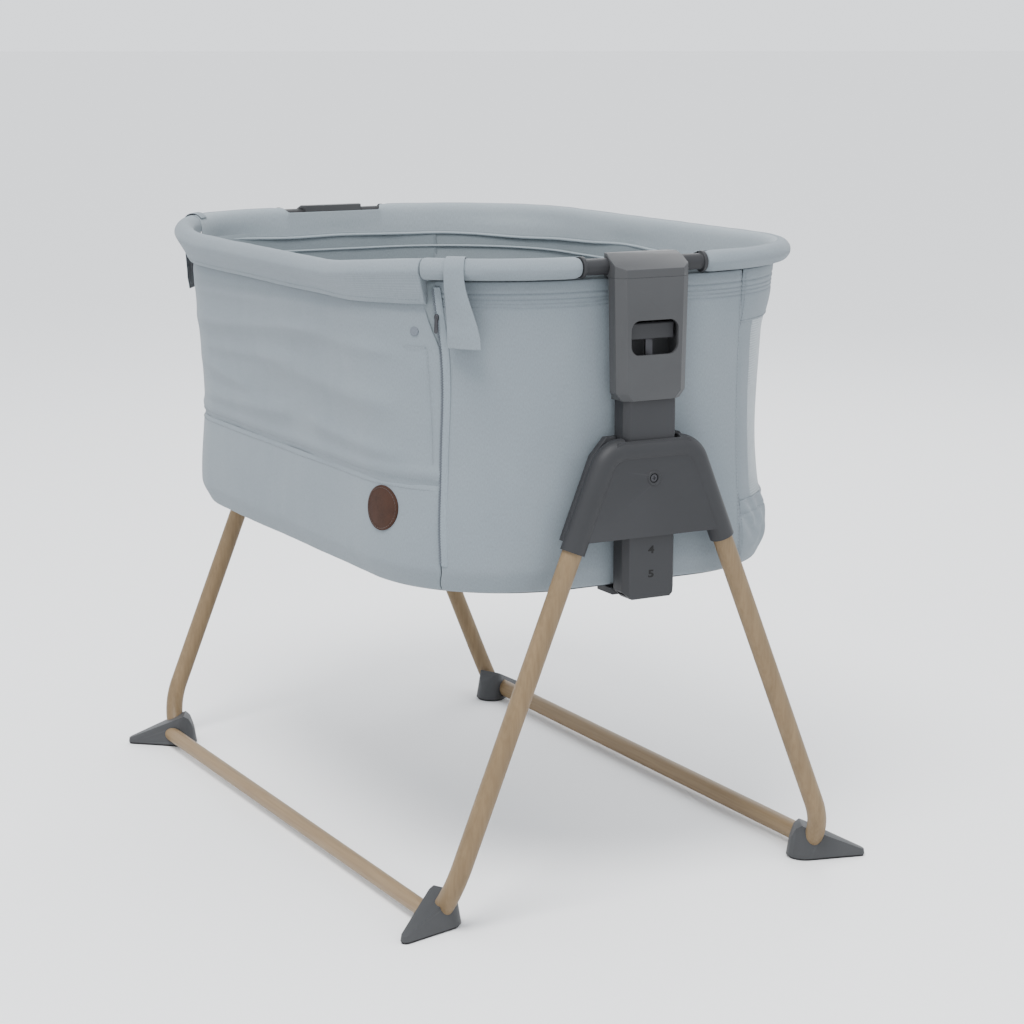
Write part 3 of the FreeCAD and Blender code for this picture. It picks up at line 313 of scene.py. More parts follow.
INNER = moulded("inner_plastic", (0.012, 0.012, 0.013), 0.6)
SOLE = rubber("sole_rubber", (0.014, 0.014, 0.015))
STEEL = metal("steel", (0.5, 0.5, 0.51))
DARK_STEEL = metal("dark_steel", (0.06, 0.06, 0.065), 0.45)
BROWN = leather("brown_leather", (0.040, 0.0155, 0.0082))
THREAD = thread_finish("thread", (0.135, 0.16, 0.18))
BROWN_THREAD = thread_finish("brown_thread", (0.040, 0.018, 0.011))
KNIT = knit("mattress_knit", (0.42, 0.45, 0.47))
BOARD = woven("board_cloth", (0.045, 0.05, 0.055), uv=False)
DIGITS = rubber("printed_black", (0.0015, 0.0015, 0.0016))
BAR_WOOD = wood_paint("bar_wood", LEG_TONE, stretch=(2.2, 70, 70))
# The legs take the bars' wood tone darkened by 0.84: painted shade, so the same wood print renders darker on
# the legs than on the bars.
FRONT_WOOD = wood_paint("front_leg_wood", tinted(LEG_TONE, 0.84), turn=(LEG_TILT, 0, 0))
BACK_WOOD = wood_paint("back_leg_wood", tinted(LEG_TONE, 0.84), turn=(-LEG_TILT, 0, 0))


# ---- carried-over CAD pieces -----------------------------------------------------------------

def dress(node, material, bevel=0.0, segments=3, angle=32):
    """Give a CAD node its finish, and round its hard edges without changing its mesh."""
    piece = NODES[node]
    piece.data.materials.clear()
    piece.data.materials.append(material)
    for polygon in piece.data.polygons:
        polygon.use_smooth = True
    weld = piece.modifiers.new("weld", "WELD")
    weld.merge_threshold = 0.00002
    if bevel:
        flat = piece.modifiers.new("flat", "DECIMATE")
        flat.decimate_type = "DISSOLVE"
        flat.angle_limit = math.radians(0.6)
        round_off = piece.modifiers.new("round", "BEVEL")
        round_off.width = bevel
        round_off.segments = segments
        round_off.limit_method = "ANGLE"
        round_off.angle_limit = math.radians(angle)
        round_off.harden_normals = True
    else:
        smooth = piece.modifiers.new("smooth", "WEIGHTED_NORMAL")
        smooth.keep_sharp = True


def dress_all():
    for side in ("right", "left"):
        for end, wood in (("front", FRONT_WOOD), ("back", BACK_WOOD)):
            dress(f"{end}_{side}_leg", wood)
            dress(f"{end}_{side}_foot", HOUSING, 0.0022, 4)
            dress(f"{end}_{side}_sole", SOLE, 0.0005, 2)
        dress(f"{side}_bracket_shell", DARK, 0.0012)
        dress(f"{side}_bracket_back", DARK, 0.0006, 2)
        dress(f"{side}_guide_bush", INNER)
        dress(f"{side}_bush_screw", DARK_STEEL, 0.0003, 2)
        dress(f"{side}_height_tube", DARK, 0.0016)
        dress(f"{side}_base_shoe", DARK, 0.001, 2)
        dress(f"{side}_bolt_guide", INNER)
        dress(f"{side}_lock_bolt", STEEL, 0.0003, 2)
        dress(f"{side}_housing", HOUSING, 0.0022)
        dress(f"{side}_cap", HOUSING, 0.0026, 4)
        dress(f"{side}_release_lever", DARK, 0.0012)
        dress(f"{side}_pull_rod", DARK_STEEL, 0.0003, 2)
        dress(f"{side}_rim_rail", DARK, 0.001)
        dress(f"{side}_corner_tube", STEEL)
    dress("front_floor_bar", BAR_WOOD)
    dress("back_floor_bar", BAR_WOOD)
    dress("back_rim_tube", STEEL)
    dress("base_board", BOARD, 0.001, 2)


# ---- the wall surface ------------------------------------------------------------------------

# The walls' outer surface: level, half length, half width and corner radius.
WALL_LEVELS = (
    (0.404, 0.440, 0.268, 0.178),
    (0.430, 0.447, 0.280, 0.187),
    (0.560, 0.443, 0.277, 0.198),
    (0.690, 0.444, 0.288, 0.208),
    (0.779, 0.448, 0.295, 0.211),
)
RIM_PLAN = (0.455, 0.303, 0.215)      # half length, half width and corner radius of the rim
RIM_LEVEL = 0.794
# The zip's place along the object, by the corner radius of the wall's plan.
ZIP_LINE = ((0.178, 0.3705), (0.187, 0.3807), (0.198, 0.3725), (0.208, 0.3779), (0.211, 0.376))
ZIP_X = 0.376                         # the zips' plane
SEAM_Y = 0.162                        # the seams between the ends and the back
DROP_SEAM = 0.530                     # the fold of the drop side
SEAM_GAP = 0.0003                     # between two cloths that meet at a seam or a zip


def wall_plan(level):
    """Half length, half width and corner radius of the walls at a level."""
    level = min(max(level, WALL_LEVELS[0][0]), WALL_LEVELS[-1][0])
    last = len(WALL_LEVELS) - 1
    index = max(number for number in range(last) if WALL_LEVELS[number][0] <= level)
    low, high = WALL_LEVELS[index], WALL_LEVELS[index + 1]
    span = high[0] - low[0]
    t = (level - low[0]) / span
    found = []
    for column in (1, 2, 3):
        slopes = []
        for number in (index, index + 1):
            before, after = WALL_LEVELS[max(number - 1, 0)], WALL_LEVELS[min(number + 1, last)]
            slopes.append((after[column] - before[column]) / (after[0] - before[0]) * span)
        found.append((2 * t ** 3 - 3 * t ** 2 + 1) * low[column] + (t ** 3 - 2 * t ** 2 + t) * slopes[0]
                     + (3 * t ** 2 - 2 * t ** 3) * high[column] + (t ** 3 - t ** 2) * slopes[1])
    return tuple(found)


def runs(plan):
    """Half of the front's straight run, half of the end's, a corner's arc, and half of the way round."""
    length, width, corner = plan
    straight, side, arc = length - corner, width - corner, corner * PI / 2
    return straight, side, arc, 2 * straight + 2 * side + 2 * arc


def around(plan, way):
    """Point and outward normal at a distance from the middle of the front, positive to the right."""
    length, width, corner = plan
    straight, side, arc, half = runs(plan)
    sign = 1 if way >= 0 else -1
    way = abs(way)
    if way > half:
        sign, way = -sign, 2 * half - way
    if way <= straight:
        x, y, nx, ny = way, -width, 0.0, -1.0
    elif way <= straight + arc:
        turn = (way - straight) / corner
        nx, ny = math.sin(turn), -math.cos(turn)
        x, y = straight + corner * nx, -side + corner * ny
    elif way <= straight + arc + 2 * side:
        x, y, nx, ny = length, -side + way - straight - arc, 1.0, 0.0
    elif way <= straight + 2 * arc + 2 * side:
        turn = (way - straight - arc - 2 * side) / corner
        nx, ny = math.cos(turn), math.sin(turn)
        x, y = straight + corner * nx, side + corner * ny
    else:
        x, y, nx, ny = half - way, width, 0.0, 1.0
    return sign * x, y, sign * nx, ny


def way_to_x(plan, x):
    """The distance round to a place x on the front or its corner."""
    straight = runs(plan)[0]
    if x <= straight:
        return x
    return straight + plan[2] * math.asin(min(1.0, (x - straight) / plan[2]))


def way_to_y(plan, y):
    """The distance round to a place y on the right end or its corners."""
    straight, side, arc = runs(plan)[:3]
    if y > side:
        return straight + arc + 2 * side + plan[2] * math.asin(min(1.0, (y - side) / plan[2]))
    if y < -side:
        return straight + plan[2] * math.acos(min(1.0, (-y - side) / plan[2]))
    return straight + arc + side + y


def zip_x(plan):
    """Where the zip's line stands at a wall plan.  It sways a little so that it hangs upright."""
    corner = plan[2]
    for (low, first), (high, last) in zip(ZIP_LINE, ZIP_LINE[1:]):
        if corner <= high:
            return first + (last - first) * smooth_step(low, high, corner)
    return ZIP_X


def front_zip(shift=0.0):
    return lambda plan: way_to_x(plan, zip_x(plan) + shift)


def panel_edge(plan):
    """The drop panel's side edge: it curves away from the zip near the rim."""
    return way_to_x(plan, zip_x(plan) - 0.0003 - 0.0125 * smooth_step(0.2079, 0.2108, plan[2]))


def back_seam(shift=0.0):
    return lambda plan: way_to_y(plan, SEAM_Y + shift)


def far_back_seam(shift=0.0):
    return lambda plan: 2 * runs(plan)[3] - way_to_y(plan, SEAM_Y + shift)


def minus(stop):
    return lambda plan: -stop(plan)


def both_ways(stop):
    """The same distance to the left and to the right of the middle of the front."""
    return minus(stop), stop


def smooth_step(low, high, value):
    t = min(1.0, max(0.0, (value - low) / (high - low)))
    return t * t * (3 - 2 * t)


def hill(distance, width):
    return math.exp(-(distance / width) ** 2)


def ripple(x, y, z, scale, seed=0.0):
    return noise.noise(Vector((x * scale + seed, y * scale - seed, z * scale)))


# ---- mesh building ---------------------------------------------------------------------------

def new_piece(name, points, faces, material, uvs=None):
    mesh = bpy.data.meshes.new(name)
    mesh.from_pydata(points, [], faces)
    if uvs is not None:
        layer = mesh.uv_layers.new(name="cloth")
        for loop in mesh.loops:
            layer.data[loop.index].uv = uvs[loop.vertex_index]
    for polygon in mesh.polygons:
        polygon.use_smooth = True
    mesh.materials.append(material)
    mesh.validate()
    piece = bpy.data.objects.new(name, mesh)
    bpy.context.scene.collection.objects.link(piece)
    return piece


def keep(parts, body):
    """Let pieces ride on a body."""
    for part in parts:
        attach(part, body)


def turns(count):
    """Cosine and sine at even steps round a circle."""
    return [(math.cos(2 * PI * step / count), math.sin(2 * PI * step / count)) for step in range(count)]


def grid_faces(rows, columns, ring=False, first=0):
    faces = []
    for row in range(rows - 1):
        for column in range(columns if ring else columns - 1):
            after = (column + 1) % columns
            faces.append((first + row * columns + column, first + row * columns + after,
                          first + (row + 1) * columns + after, first + (row + 1) * columns + column))
    return faces


def thicken(piece, thickness, levels=1, offset=-1.0):
    solid = piece.modifiers.new("thickness", "SOLIDIFY")
    solid.thickness = thickness
    solid.offset = offset
    if levels:
        subdivide(piece, levels)


def subdivide(piece, levels=1):
    finer = piece.modifiers.new("finer", "SUBSURF")
    finer.levels = levels
    finer.render_levels = levels


def spread(low, high, step, lines=(), near=0.0011):
    """Even rows from low to high, with closer ones beside each sewn line."""
    count = max(2, round((high - low) / step) + 1)
    rows = [low + (high - low) * number / (count - 1) for number in range(count)]
    for line in lines:
        rows = [row for row in rows if abs(row - line) > 3.4 * near]
        rows += [line + shift * near for shift in (-2.6, -1.3, -0.5, 0.5, 1.3, 2.6)]
    return sorted(row for row in rows if low <= row <= high)


def wall_sheet(name, start, stop, rows, columns, lift, material, flip=False):
    """Cloth on the wall surface.  rows are levels, or (level, inward) pairs below the hem.
    lift gives how far a point stands out, from its place, its share of the way, and its level."""
    points, uvs = [], []
    for row in rows:
        level, inward = row if isinstance(row, tuple) else (row, 0.0)
        plan = wall_plan(level)
        first, last = start(plan), stop(plan)
        for number in range(columns):
            share = number / (columns - 1)
            way = first + (last - first) * share
            x, y, nx, ny = around(plan, way)
            out = lift(x, y, level, share) - inward
            points.append((x + nx * out, y + ny * out, level))
            uvs.append((way, level - inward))
    faces = grid_faces(len(rows), columns)
    if flip:
        faces = [face[::-1] for face in faces]
    return new_piece(name, points, faces, material, uvs)


def sweep(name, start, stop, count, section, material, plan=RIM_PLAN, caps=True):
    """A closed section carried round the rim.  section(share, x, y) gives (outward, level) pairs."""
    points, uvs = [], []
    ring = 0
    first, last = start(plan), stop(plan)
    shares = [step / (count - 1) for step in range(count)]
    close = 0.0012 / abs(last - first)
    shares = [0.0, close] + shares[1:-1] + [1 - close, 1.0]
    count = len(shares)
    for share in shares:
        way = first + (last - first) * share
        x, y, nx, ny = around(plan, way)
        loop = section(share, x, y)
        ring = len(loop)
        for number, (out, level) in enumerate(loop):
            points.append((x + nx * out, y + ny * out, level))
            uvs.append((way, number / ring * 0.09))
    faces = grid_faces(count, ring, ring=True)
    if caps:
        faces.append(tuple(range(ring))[::-1])
        faces.append(tuple(range((count - 1) * ring, count * ring)))
    return new_piece(name, points, faces, material, uvs)


def tube(name, path, radius, material, sides=10, ring=False):
    """A round cord along points."""
    points, faces = [], []
    count = len(path)
    frames = []
    for number, point in enumerate(path):
        before = path[number - 1] if number or ring else path[0]
        after = path[(number + 1) % count] if number < count - 1 or ring else path[-1]
        along = (Vector(after) - Vector(before)).normalized()
        across = along.cross(Vector((0, 0, 1)))
        if across.length < 1e-4:
            across = along.cross(Vector((1, 0, 0)))
        across.normalize()
        frames.append((Vector(point), across, along.cross(across)))
    for point, across, upward in frames:
        points += [point + (across * wide + upward * high) * radius for wide, high in turns(sides)]
    faces = grid_faces(count, sides, ring=True)
    if ring:
        for side in range(sides):
            after = (side + 1) % sides
            faces.append(((count - 1) * sides + side, (count - 1) * sides + after, after, side))
    else:
        faces.append(tuple(range(sides))[::-1])
        faces.append(tuple(range((count - 1) * sides, count * sides)))
    return new_piece(name, points, faces, material, [(point.x + point.y, point.z) for point in points])


def resample(path, step):
    """Points at even distances along a path, with the distance of each."""
    path = [Vector(point) for point in path]
    total = sum((b - a).length for a, b in zip(path, path[1:]))
    count = max(2, int(total / step))
    wanted = [total * number / count for number in range(count + 1)]
    found, gone, index = [], 0.0, 0
    for want in wanted:
        while index < len(path) - 2 and gone + (path[index + 1] - path[index]).length < want:
            gone += (path[index + 1] - path[index]).length
            index += 1
        piece = path[index + 1] - path[index]
        found.append(path[index] + piece * min(1.0, (want - gone) / max(piece.length, 1e-9)))
    return found


# One stitch: share of its length, rise and thickness in thread radii.
STITCH_SHAPE = ((0.0, -0.8, 0.35), (0.25, 0.35, 1.0), (0.75, 0.35, 1.0), (1.0, -0.8, 0.35))


def stitches(name, paths, material, length=0.0032, gap=0.0014, radius=0.00038):
    """Rows of thread, each stitch a small bowed bead that dips into the cloth at both ends."""
    points, faces = [], []
    for path in paths:
        line = resample(path, length + gap)
        for before, after in zip(line, line[1:]):
            along = after - before
            if along.length < 1e-6:
                continue
            along.normalize()
            out = Vector((before.x, before.y * 1.2, 0)).normalized()
            out = (out - along * out.dot(along)).normalized()
            across = along.cross(out)
            first = len(points)
            for share, rise, thick in STITCH_SHAPE:
                centre = before + along * length * share + out * rise * radius
                points += [centre + (across * wide + out * high) * radius * thick for wide, high in turns(5)]
            faces += grid_faces(4, 5, ring=True, first=first)
            faces.append(tuple(range(first, first + 5))[::-1])
            faces.append(tuple(range(first + 15, first + 20)))
    return new_piece(name, points, faces, material, [(point.x + point.y, point.z) for point in points])


def wall_line(start, stop, level, out, count=120):
    """A path on the walls at a level, or at level(share)."""
    path = []
    for number in range(count):
        share = number / (count - 1)
        height = level(share) if callable(level) else level
        plan = wall_plan(height)
        way = start(plan) + (stop(plan) - start(plan)) * share
        x, y, nx, ny = around(plan, way)
        rise = out(x, y, height, share) if callable(out) else out
        path.append((x + nx * rise, y + ny * rise, height))
    return path


def wall_column(place, low, high, out, count=60):
    """An upright path on the walls, at a place that is a function of the plan."""
    path = []
    for number in range(count):
        level = low + (high - low) * number / (count - 1)
        plan = wall_plan(level)
        x, y, nx, ny = around(plan, place(plan))
        rise = out(x, y, level, 0.5) if callable(out) else out
        path.append((x + nx * rise, y + ny * rise, level))
    return path


# ---- lower and end walls ---------------------------------------------------------------------

WALL_LOW, WALL_TOP = 0.404, 0.779
LINING_LOW, LINING_TOP = 0.4045, 0.772
SEAM_THREAD = 0.41, 0.775             # levels that the seams' stitching runs between
HEM_WIDTH = 0.034                     # the cloth turned in under the base board
CLOTH_THICKNESS, LINING_THICKNESS = 0.0014, 0.0010
HEM = [(0.3974, HEM_WIDTH), (0.3975, 0.022), (0.3978, 0.012), (0.3988, 0.0055), (0.4008, 0.0018)]
END_LINES = (0.7475, 0.7525, 0.7575, 0.7645)


def soft(x, y, z, seed, small=0.0007, large=0.0016):
    """The unevenness of hanging cloth: broad waves, longer upright than across."""
    broad = noise.noise(Vector((x * 9 + seed, y * 9, z * 4)))
    fine = noise.noise(Vector((x * 34, y * 34 + seed, z * 15)))
    return broad * large + fine * small


def end_lift(x, y, z, share):
    out = 0.0004 + soft(x, y, z, 3.1)
    for line in END_LINES:
        out -= 0.0017 * hill(z - line, 0.0011)
    out -= 0.0012 * hill(share, 0.012) + 0.0012 * hill(1 - share, 0.012)
    if z > 0.766:
        out -= 0.0015 * smooth_step(0.766, 0.779, z)
    return out


def lower_lift(x, y, z, share):
    out = 0.0004 + soft(x, y, z, 7.7, 0.0006, 0.0018)
    out -= 0.0016 * smooth_step(0.522, 0.5297, z)
    out -= 0.0012 * hill(share, 0.010) + 0.0012 * hill(1 - share, 0.010)
    return out


def make_ends():
    for side, sign in SIDES:
        rows = HEM + spread(WALL_LOW, WALL_TOP, 0.006, END_LINES)
        start, stop = front_zip(SEAM_GAP), back_seam(-SEAM_GAP)
        piece = wall_sheet(f"{side}_end_cloth", start, stop, rows, 84, end_lift, CLOTH)
        lining = wall_sheet(f"{side}_end_lining", start, back_seam(0.005),
                            spread(LINING_LOW, LINING_TOP, 0.012), 60,
                            lambda x, y, z, share: -0.0062 + soft(x, y, z, 5.0, 0.0004, 0.0006), LINING)
        threads = stitches(f"{side}_end_stitching", [
            *[wall_line(front_zip(0.05), back_seam(-0.004), line, lambda *p: end_lift(*p) + 0.0001, 160)
              for line in END_LINES[::3]],
            wall_column(back_seam(-0.0045), *SEAM_THREAD, lambda *p: end_lift(*p) + 0.0003)], THREAD)
        to_side(sign, piece, lining, threads)
        thicken(piece, CLOTH_THICKNESS)
        thicken(lining, LINING_THICKNESS, 0, 1.0)
        keep((piece, lining, threads), "basket")
        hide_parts(f"{side}_end_wall")
        cut_size(start, stop, WALL_LOW, WALL_TOP, HEM_WIDTH)
        cut_size(start, stop, LINING_LOW, LINING_TOP)


def cut_size(start, stop, low, high, hem=0.0):
    """The flat height and length of a piece of wall cloth."""
    plan = wall_plan((low + high) / 2)
    return high - low + hem, stop(plan) - start(plan)


def to_side(sign, *parts):
    """Turn right-hand pieces into left-hand ones where the sign is negative."""
    for part in parts if sign < 0 else ():
        for vertex in part.data.vertices:
            vertex.co.x = -vertex.co.x
        part.data.flip_normals()


def make_front_lower():
    start, stop = both_ways(front_zip(-SEAM_GAP))
    top, seam = 0.5297, 0.5235        # just under the fold, and the hem's stitching
    rows = HEM + spread(WALL_LOW, top, 0.005, (seam,))
    piece = wall_sheet("front_lower_cloth", start, stop, rows, 150, lower_lift, CLOTH)
    lining = wall_sheet("front_lower_lining", start, stop, spread(LINING_LOW, top, 0.015), 80,
                        lambda x, y, z, share: -0.0048 + soft(x, y, z, 5.0, 0.0004, 0.0006), LINING)
    threads = stitches("front_lower_stitching", [
        wall_line(*both_ways(front_zip(-0.004)), seam,
                  lambda *p: lower_lift(*p) + 0.0003, 260)], THREAD)
    thicken(piece, CLOTH_THICKNESS)
    thicken(lining, LINING_THICKNESS, 0, 1.0)
    keep((piece, lining, threads), "basket")
    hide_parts("front_lower_wall")
    cut_size(start, stop, WALL_LOW, DROP_SEAM, HEM_WIDTH)
    cut_size(start, stop, LINING_LOW, DROP_SEAM)


# ---- drop side -------------------------------------------------------------------------------

BAND_LEVEL = 0.746                    # the lower edge of the front rim's padded sleeve
PANEL_TOP = 0.772
FACING_X = 0.364                      # stitched edge of the facing beside each zip
# Long soft folds of the drop side: start x and level, end x and level, half width, height.
PANEL_FOLDS = (
    (-0.34, 0.722, 0.34, 0.727, 0.008, 0.0040), (-0.36, 0.672, 0.22, 0.704, 0.013, 0.0056),
    (-0.30, 0.560, 0.05, 0.585, 0.013, 0.0048), (-0.05, 0.648, 0.33, 0.616, 0.016, 0.0050),
    (0.10, 0.578, 0.35, 0.553, 0.010, 0.0040), (-0.35, 0.618, -0.10, 0.600, 0.010, 0.0040),
    (0.05, 0.690, 0.34, 0.684, 0.010, 0.0034), (-0.28, 0.640, 0.10, 0.655, 0.009, 0.0026),
)


def fold_height(x, z):
    out = 0.0
    for x_first, z_first, x_last, z_last, width, height in PANEL_FOLDS:
        share = (x - x_first) / (x_last - x_first)
        fade = smooth_step(-0.08, 0.12, share) * (1 - smooth_step(0.88, 1.08, share))
        sway = 0.006 * math.sin(7 * x + 9 * z_first)
        out += height * fade * hill(z - (z_first + (z_last - z_first) * share) - sway, width)
    return out


def panel_lift(x, y, z, share):
    out = 0.0006 + soft(x, y, z, 1.3, 0.0006, 0.0016)
    hang = smooth_step(DROP_SEAM, 0.575, z) * (1 - smooth_step(0.715, 0.75, z))
    ends = smooth_step(0.05, 0.24, share) * (1 - smooth_step(0.86, 0.97, share))
    out += (fold_height(x, z) + 0.0022) * hang * ends
    out += 0.0022 * hill(z - 0.5445, 0.0050) - 0.0022 * (1 - smooth_step(DROP_SEAM, 0.536, z))
    out -= 0.0022 * smooth_step(0.735, 0.75, z)
    out -= 0.0012 * hill(abs(x) - FACING_X, 0.0013) * smooth_step(0.550, 0.556, z) * (z < 0.699)
    out -= 0.0010 * hill(z - 0.698, 0.0013) * smooth_step(0.331, 0.335, abs(x)) * (abs(x) < 0.365)
    return out


def make_drop_side():
    start, stop = both_ways(front_zip(-SEAM_GAP))
    rows = spread(DROP_SEAM - 0.004, PANEL_TOP, 0.005, (0.5365,))
    piece = wall_sheet("drop_side_cloth", minus(panel_edge), panel_edge, rows, 190, panel_lift, CLOTH)
    lining = wall_sheet("drop_side_lining", start, stop, spread(DROP_SEAM - 0.004, PANEL_TOP, 0.012), 90,
                        lambda x, y, z, share: -0.0045 + soft(x, y, z, 2.0, 0.0004, 0.0008), LINING)
    thicken(piece, CLOTH_THICKNESS)
    thicken(lining, LINING_THICKNESS, 0, 1.0)
    on_panel = lambda *place: panel_lift(*place) + 0.0003
    threads = stitches("drop_side_stitching", [
        wall_line(*both_ways(front_zip(-0.004)), 0.5365, on_panel, 260),
        *[wall_column(lambda plan, sign=sign: sign * way_to_x(plan, FACING_X), 0.556, 0.698, on_panel)
          for sign in (1, -1)],
        *[wall_line(lambda plan, sign=sign: sign * way_to_x(plan, 0.333),
                    lambda plan, sign=sign: sign * way_to_x(plan, FACING_X), 0.698, on_panel, 16)
          for sign in (1, -1)]], THREAD)
    for part in (piece, lining):
        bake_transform(part)
    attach(threads, "drop_side")
    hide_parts("front_panel")
    flat = cut_size(start, stop, DROP_SEAM - 0.004, PANEL_TOP)


def front_crown(x):
    """Level of the middle of the front rim's padding: it sags between the corners."""
    return 0.779 + 0.0135 * smooth_step(0.19, 0.40, abs(x))


def sleeve_section(share, x, y):
    """The front rim's padded sleeve: a soft roll with its cover sewn down over the panel."""
    crown = front_crown(x)
    radius = 0.0142 + 0.0007 * ripple(x, 0, 0, 14, 2.0)
    sag = 0.0016 * ripple(x, 0, 0, 9, 5.0)
    low = BAND_LEVEL + sag + 0.004 * smooth_step(0.2, 0.395, abs(x))
    arc = [(radius * math.cos(turn), crown + radius * math.sin(turn))
           for turn in (math.radians(degrees) for degrees in range(-10, 191, 12))]
    settle = 0.0035 * smooth_step(0.345, 0.376, abs(x))
    outer = [(-0.0085 - settle, low), (-0.0058 - settle, low + 0.0012), (-0.0040, low + 0.005),
             (-0.0012, low + 0.011), (0.0032, low + 0.018), (0.0082, crown - 0.012)]
    inner = [(-0.0135, crown - 0.010), (-0.0150, low + 0.018), (-0.0162, low + 0.012), (-0.0152, low + 0.007),
             (-0.0120, low + 0.003)]
    bumpy = []
    for out, level in outer + arc + inner:
        swell = 0.0006 * noise.noise(Vector((x * 30, out * 60, level * 40)))
        bumpy.append((out + swell, level + swell * 0.5))
    return bumpy


def make_front_rim():
    piece = sweep("front_rim_sleeve", *both_ways(front_zip(-0.0002)), 200,
                  sleeve_section, CLOTH)
    subdivide(piece)
    seam = stitches("front_rim_stitching", [
        rim_line(*both_ways(front_zip(-0.004)),
                 lambda x: (-0.0034, BAND_LEVEL + 0.0062 + 0.0016 * ripple(x, 0, 0, 9, 5.0)
                            + 0.004 * smooth_step(0.2, 0.395, abs(x))), 260)], THREAD)
    keep((piece, seam), "drop_side")
    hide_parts("front_rim_pad")


def rim_line(start, stop, place, count=200):
    """A path beside the rim.  place(x) gives how far out from its middle line, and the level."""
    path = []
    first, last = start(RIM_PLAN), stop(RIM_PLAN)
    for number in range(count):
        way = first + (last - first) * number / (count - 1)
        x, y, nx, ny = around(RIM_PLAN, way)
        out, level = place(x)
        path.append((x + nx * out, y + ny * out, level))
    return path


# ---- padded rim of the ends and back ---------------------------------------------------------

COLLAR = 0.0875                       # where the padding starts, beside the bare rail


def pad_section(radius=0.013):
    def section(share, x, y):
        edge = min(abs(abs(y) - COLLAR), 0.03) if abs(x) > 0.44 else 0.03
        pinch = 1 - 0.17 * (1 - smooth_step(0.0, 0.007, edge))
        loop = []
        for number in range(28):
            turn = 2 * PI * number / 28
            swell = 1 + 0.035 * noise.noise(Vector((x * 26, y * 26, 2.2 * math.sin(turn))))
            seam = 1 + 0.10 * hill(turn - math.radians(262), 0.10)
            reach = radius * pinch * swell * seam
            loop.append((reach * math.cos(turn), RIM_LEVEL + reach * math.sin(turn)))
        return loop
    return section


def rim_to_y(y):
    return lambda plan: way_to_y(plan, y)


def make_rim_pads():
    for side, sign in SIDES:
        piece = sweep(f"{side}_corner_rim_sleeve", front_zip(0.0002), rim_to_y(-COLLAR), 70,
                      pad_section(), CLOTH)
        to_side(sign, piece)
        subdivide(piece)
        keep([piece], "basket")
        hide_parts(f"{side}_corner_pad")
    back = sweep("back_rim_sleeve", rim_to_y(COLLAR), lambda plan: 2 * runs(plan)[3] - way_to_y(plan, COLLAR),
                 240, pad_section(), CLOTH)
    subdivide(back)
    keep([back], "basket")
    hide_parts("back_rim_pad")


def flap_profile(x, y):
    """The inner flap of the rim: over the padding, then straight down behind the rail and the caps."""
    near_rail = 1 - smooth_step(0.074, 0.081, abs(y)) if abs(x) > 0.44 else 0.0
    near_cap = 1 - smooth_step(0.0745, 0.0800, abs(y)) if abs(x) > 0.44 else 0.0
    wave = 0.0022 * ripple(x, y, 0, 7, 1.0) + 0.0018 * math.sin(9 * x + 5 * y)
    top = [(-0.0040, 0.8072), (-0.0085, 0.8052), (-0.0122, 0.8010), (-0.0142, 0.7950), (-0.0150, 0.7860)]
    low = [(-0.0105, 0.7995), (-0.0122, 0.7985), (-0.0135, 0.7960), (-0.0145, 0.7920), (-0.0152, 0.7860)]
    profile = []
    for (out, level), (rail_out, rail_level) in zip(top, low):
        out, level = out + (rail_out - out) * near_rail, level + (rail_level - level) * near_rail
        profile.append((out + (min(out, -0.0158) - out) * near_cap, level))
    profile.append((-0.0160 + wave, 0.7760))
    profile.append((-0.0158 + wave, 0.7680 + wave))
    profile.append((-0.0162 + wave, 0.7620 + wave * 1.6))
    return profile


def make_inner_flap():
    """The sleeve's inner flap, with piping along its wavy lower edge."""
    start = front_zip(0.001)
    stop = lambda plan: 2 * runs(plan)[3] - way_to_x(plan, ZIP_X + 0.001)
    points, uvs, edge = [], [], []
    count, rows = 760, 8
    first, last = start(RIM_PLAN), stop(RIM_PLAN)
    for step in range(count):
        way = first + (last - first) * step / (count - 1)
        x, y, nx, ny = around(RIM_PLAN, way)
        for number, (out, level) in enumerate(flap_profile(x, y)):
            points.append((x + nx * out, y + ny * out, level))
            uvs.append((way, number * 0.006))
        edge.append(points[-1])
    piece = new_piece("rim_inner_flap", points, grid_faces(count, rows), BAND, uvs)
    thicken(piece, 0.0012, 1, 1.0)
    piping = tube("rim_flap_piping", [(x, y, z - 0.0008) for x, y, z in edge], 0.0021, PIPING)
    lower = tube("lining_piping", wall_line(front_zip(0.002),
                 lambda plan: 2 * runs(plan)[3] - way_to_x(plan, ZIP_X + 0.002), 0.742, -0.0072, 420),
                 0.0016, PIPING)
    keep((piece, piping, lower), "basket")


# ---- back wall -------------------------------------------------------------------------------

NET_LOW, NET_HIGH = 0.478, 0.716      # the mesh window
NET_INSET = 0.036
LOW_BAND_SEAM = 0.466


def back_lift(x, y, z, share):
    out = 0.0002 + soft(x, y, z, 4.4, 0.0007, 0.0018)
    inward = smooth_step(0.44, 0.50, z) * (1 - smooth_step(0.69, 0.74, z))
    out -= 0.0055 * inward
    out -= 0.0014 * hill(share, 0.006) + 0.0014 * hill(1 - share, 0.006)
    return out


# Soft creases of the back's lower band: share of the way along, level, slant, height.
BACK_CREASES = ((0.03, 0.462, 1.2, 0.0030), (0.06, 0.445, -0.9, 0.0026), (0.10, 0.468, 0.7, 0.0022),
                (0.90, 0.466, -0.7, 0.0024), (0.94, 0.446, 0.9, 0.0028), (0.97, 0.463, -1.2, 0.0030),
                (0.35, 0.470, 0.5, 0.0014), (0.62, 0.468, -0.5, 0.0014))


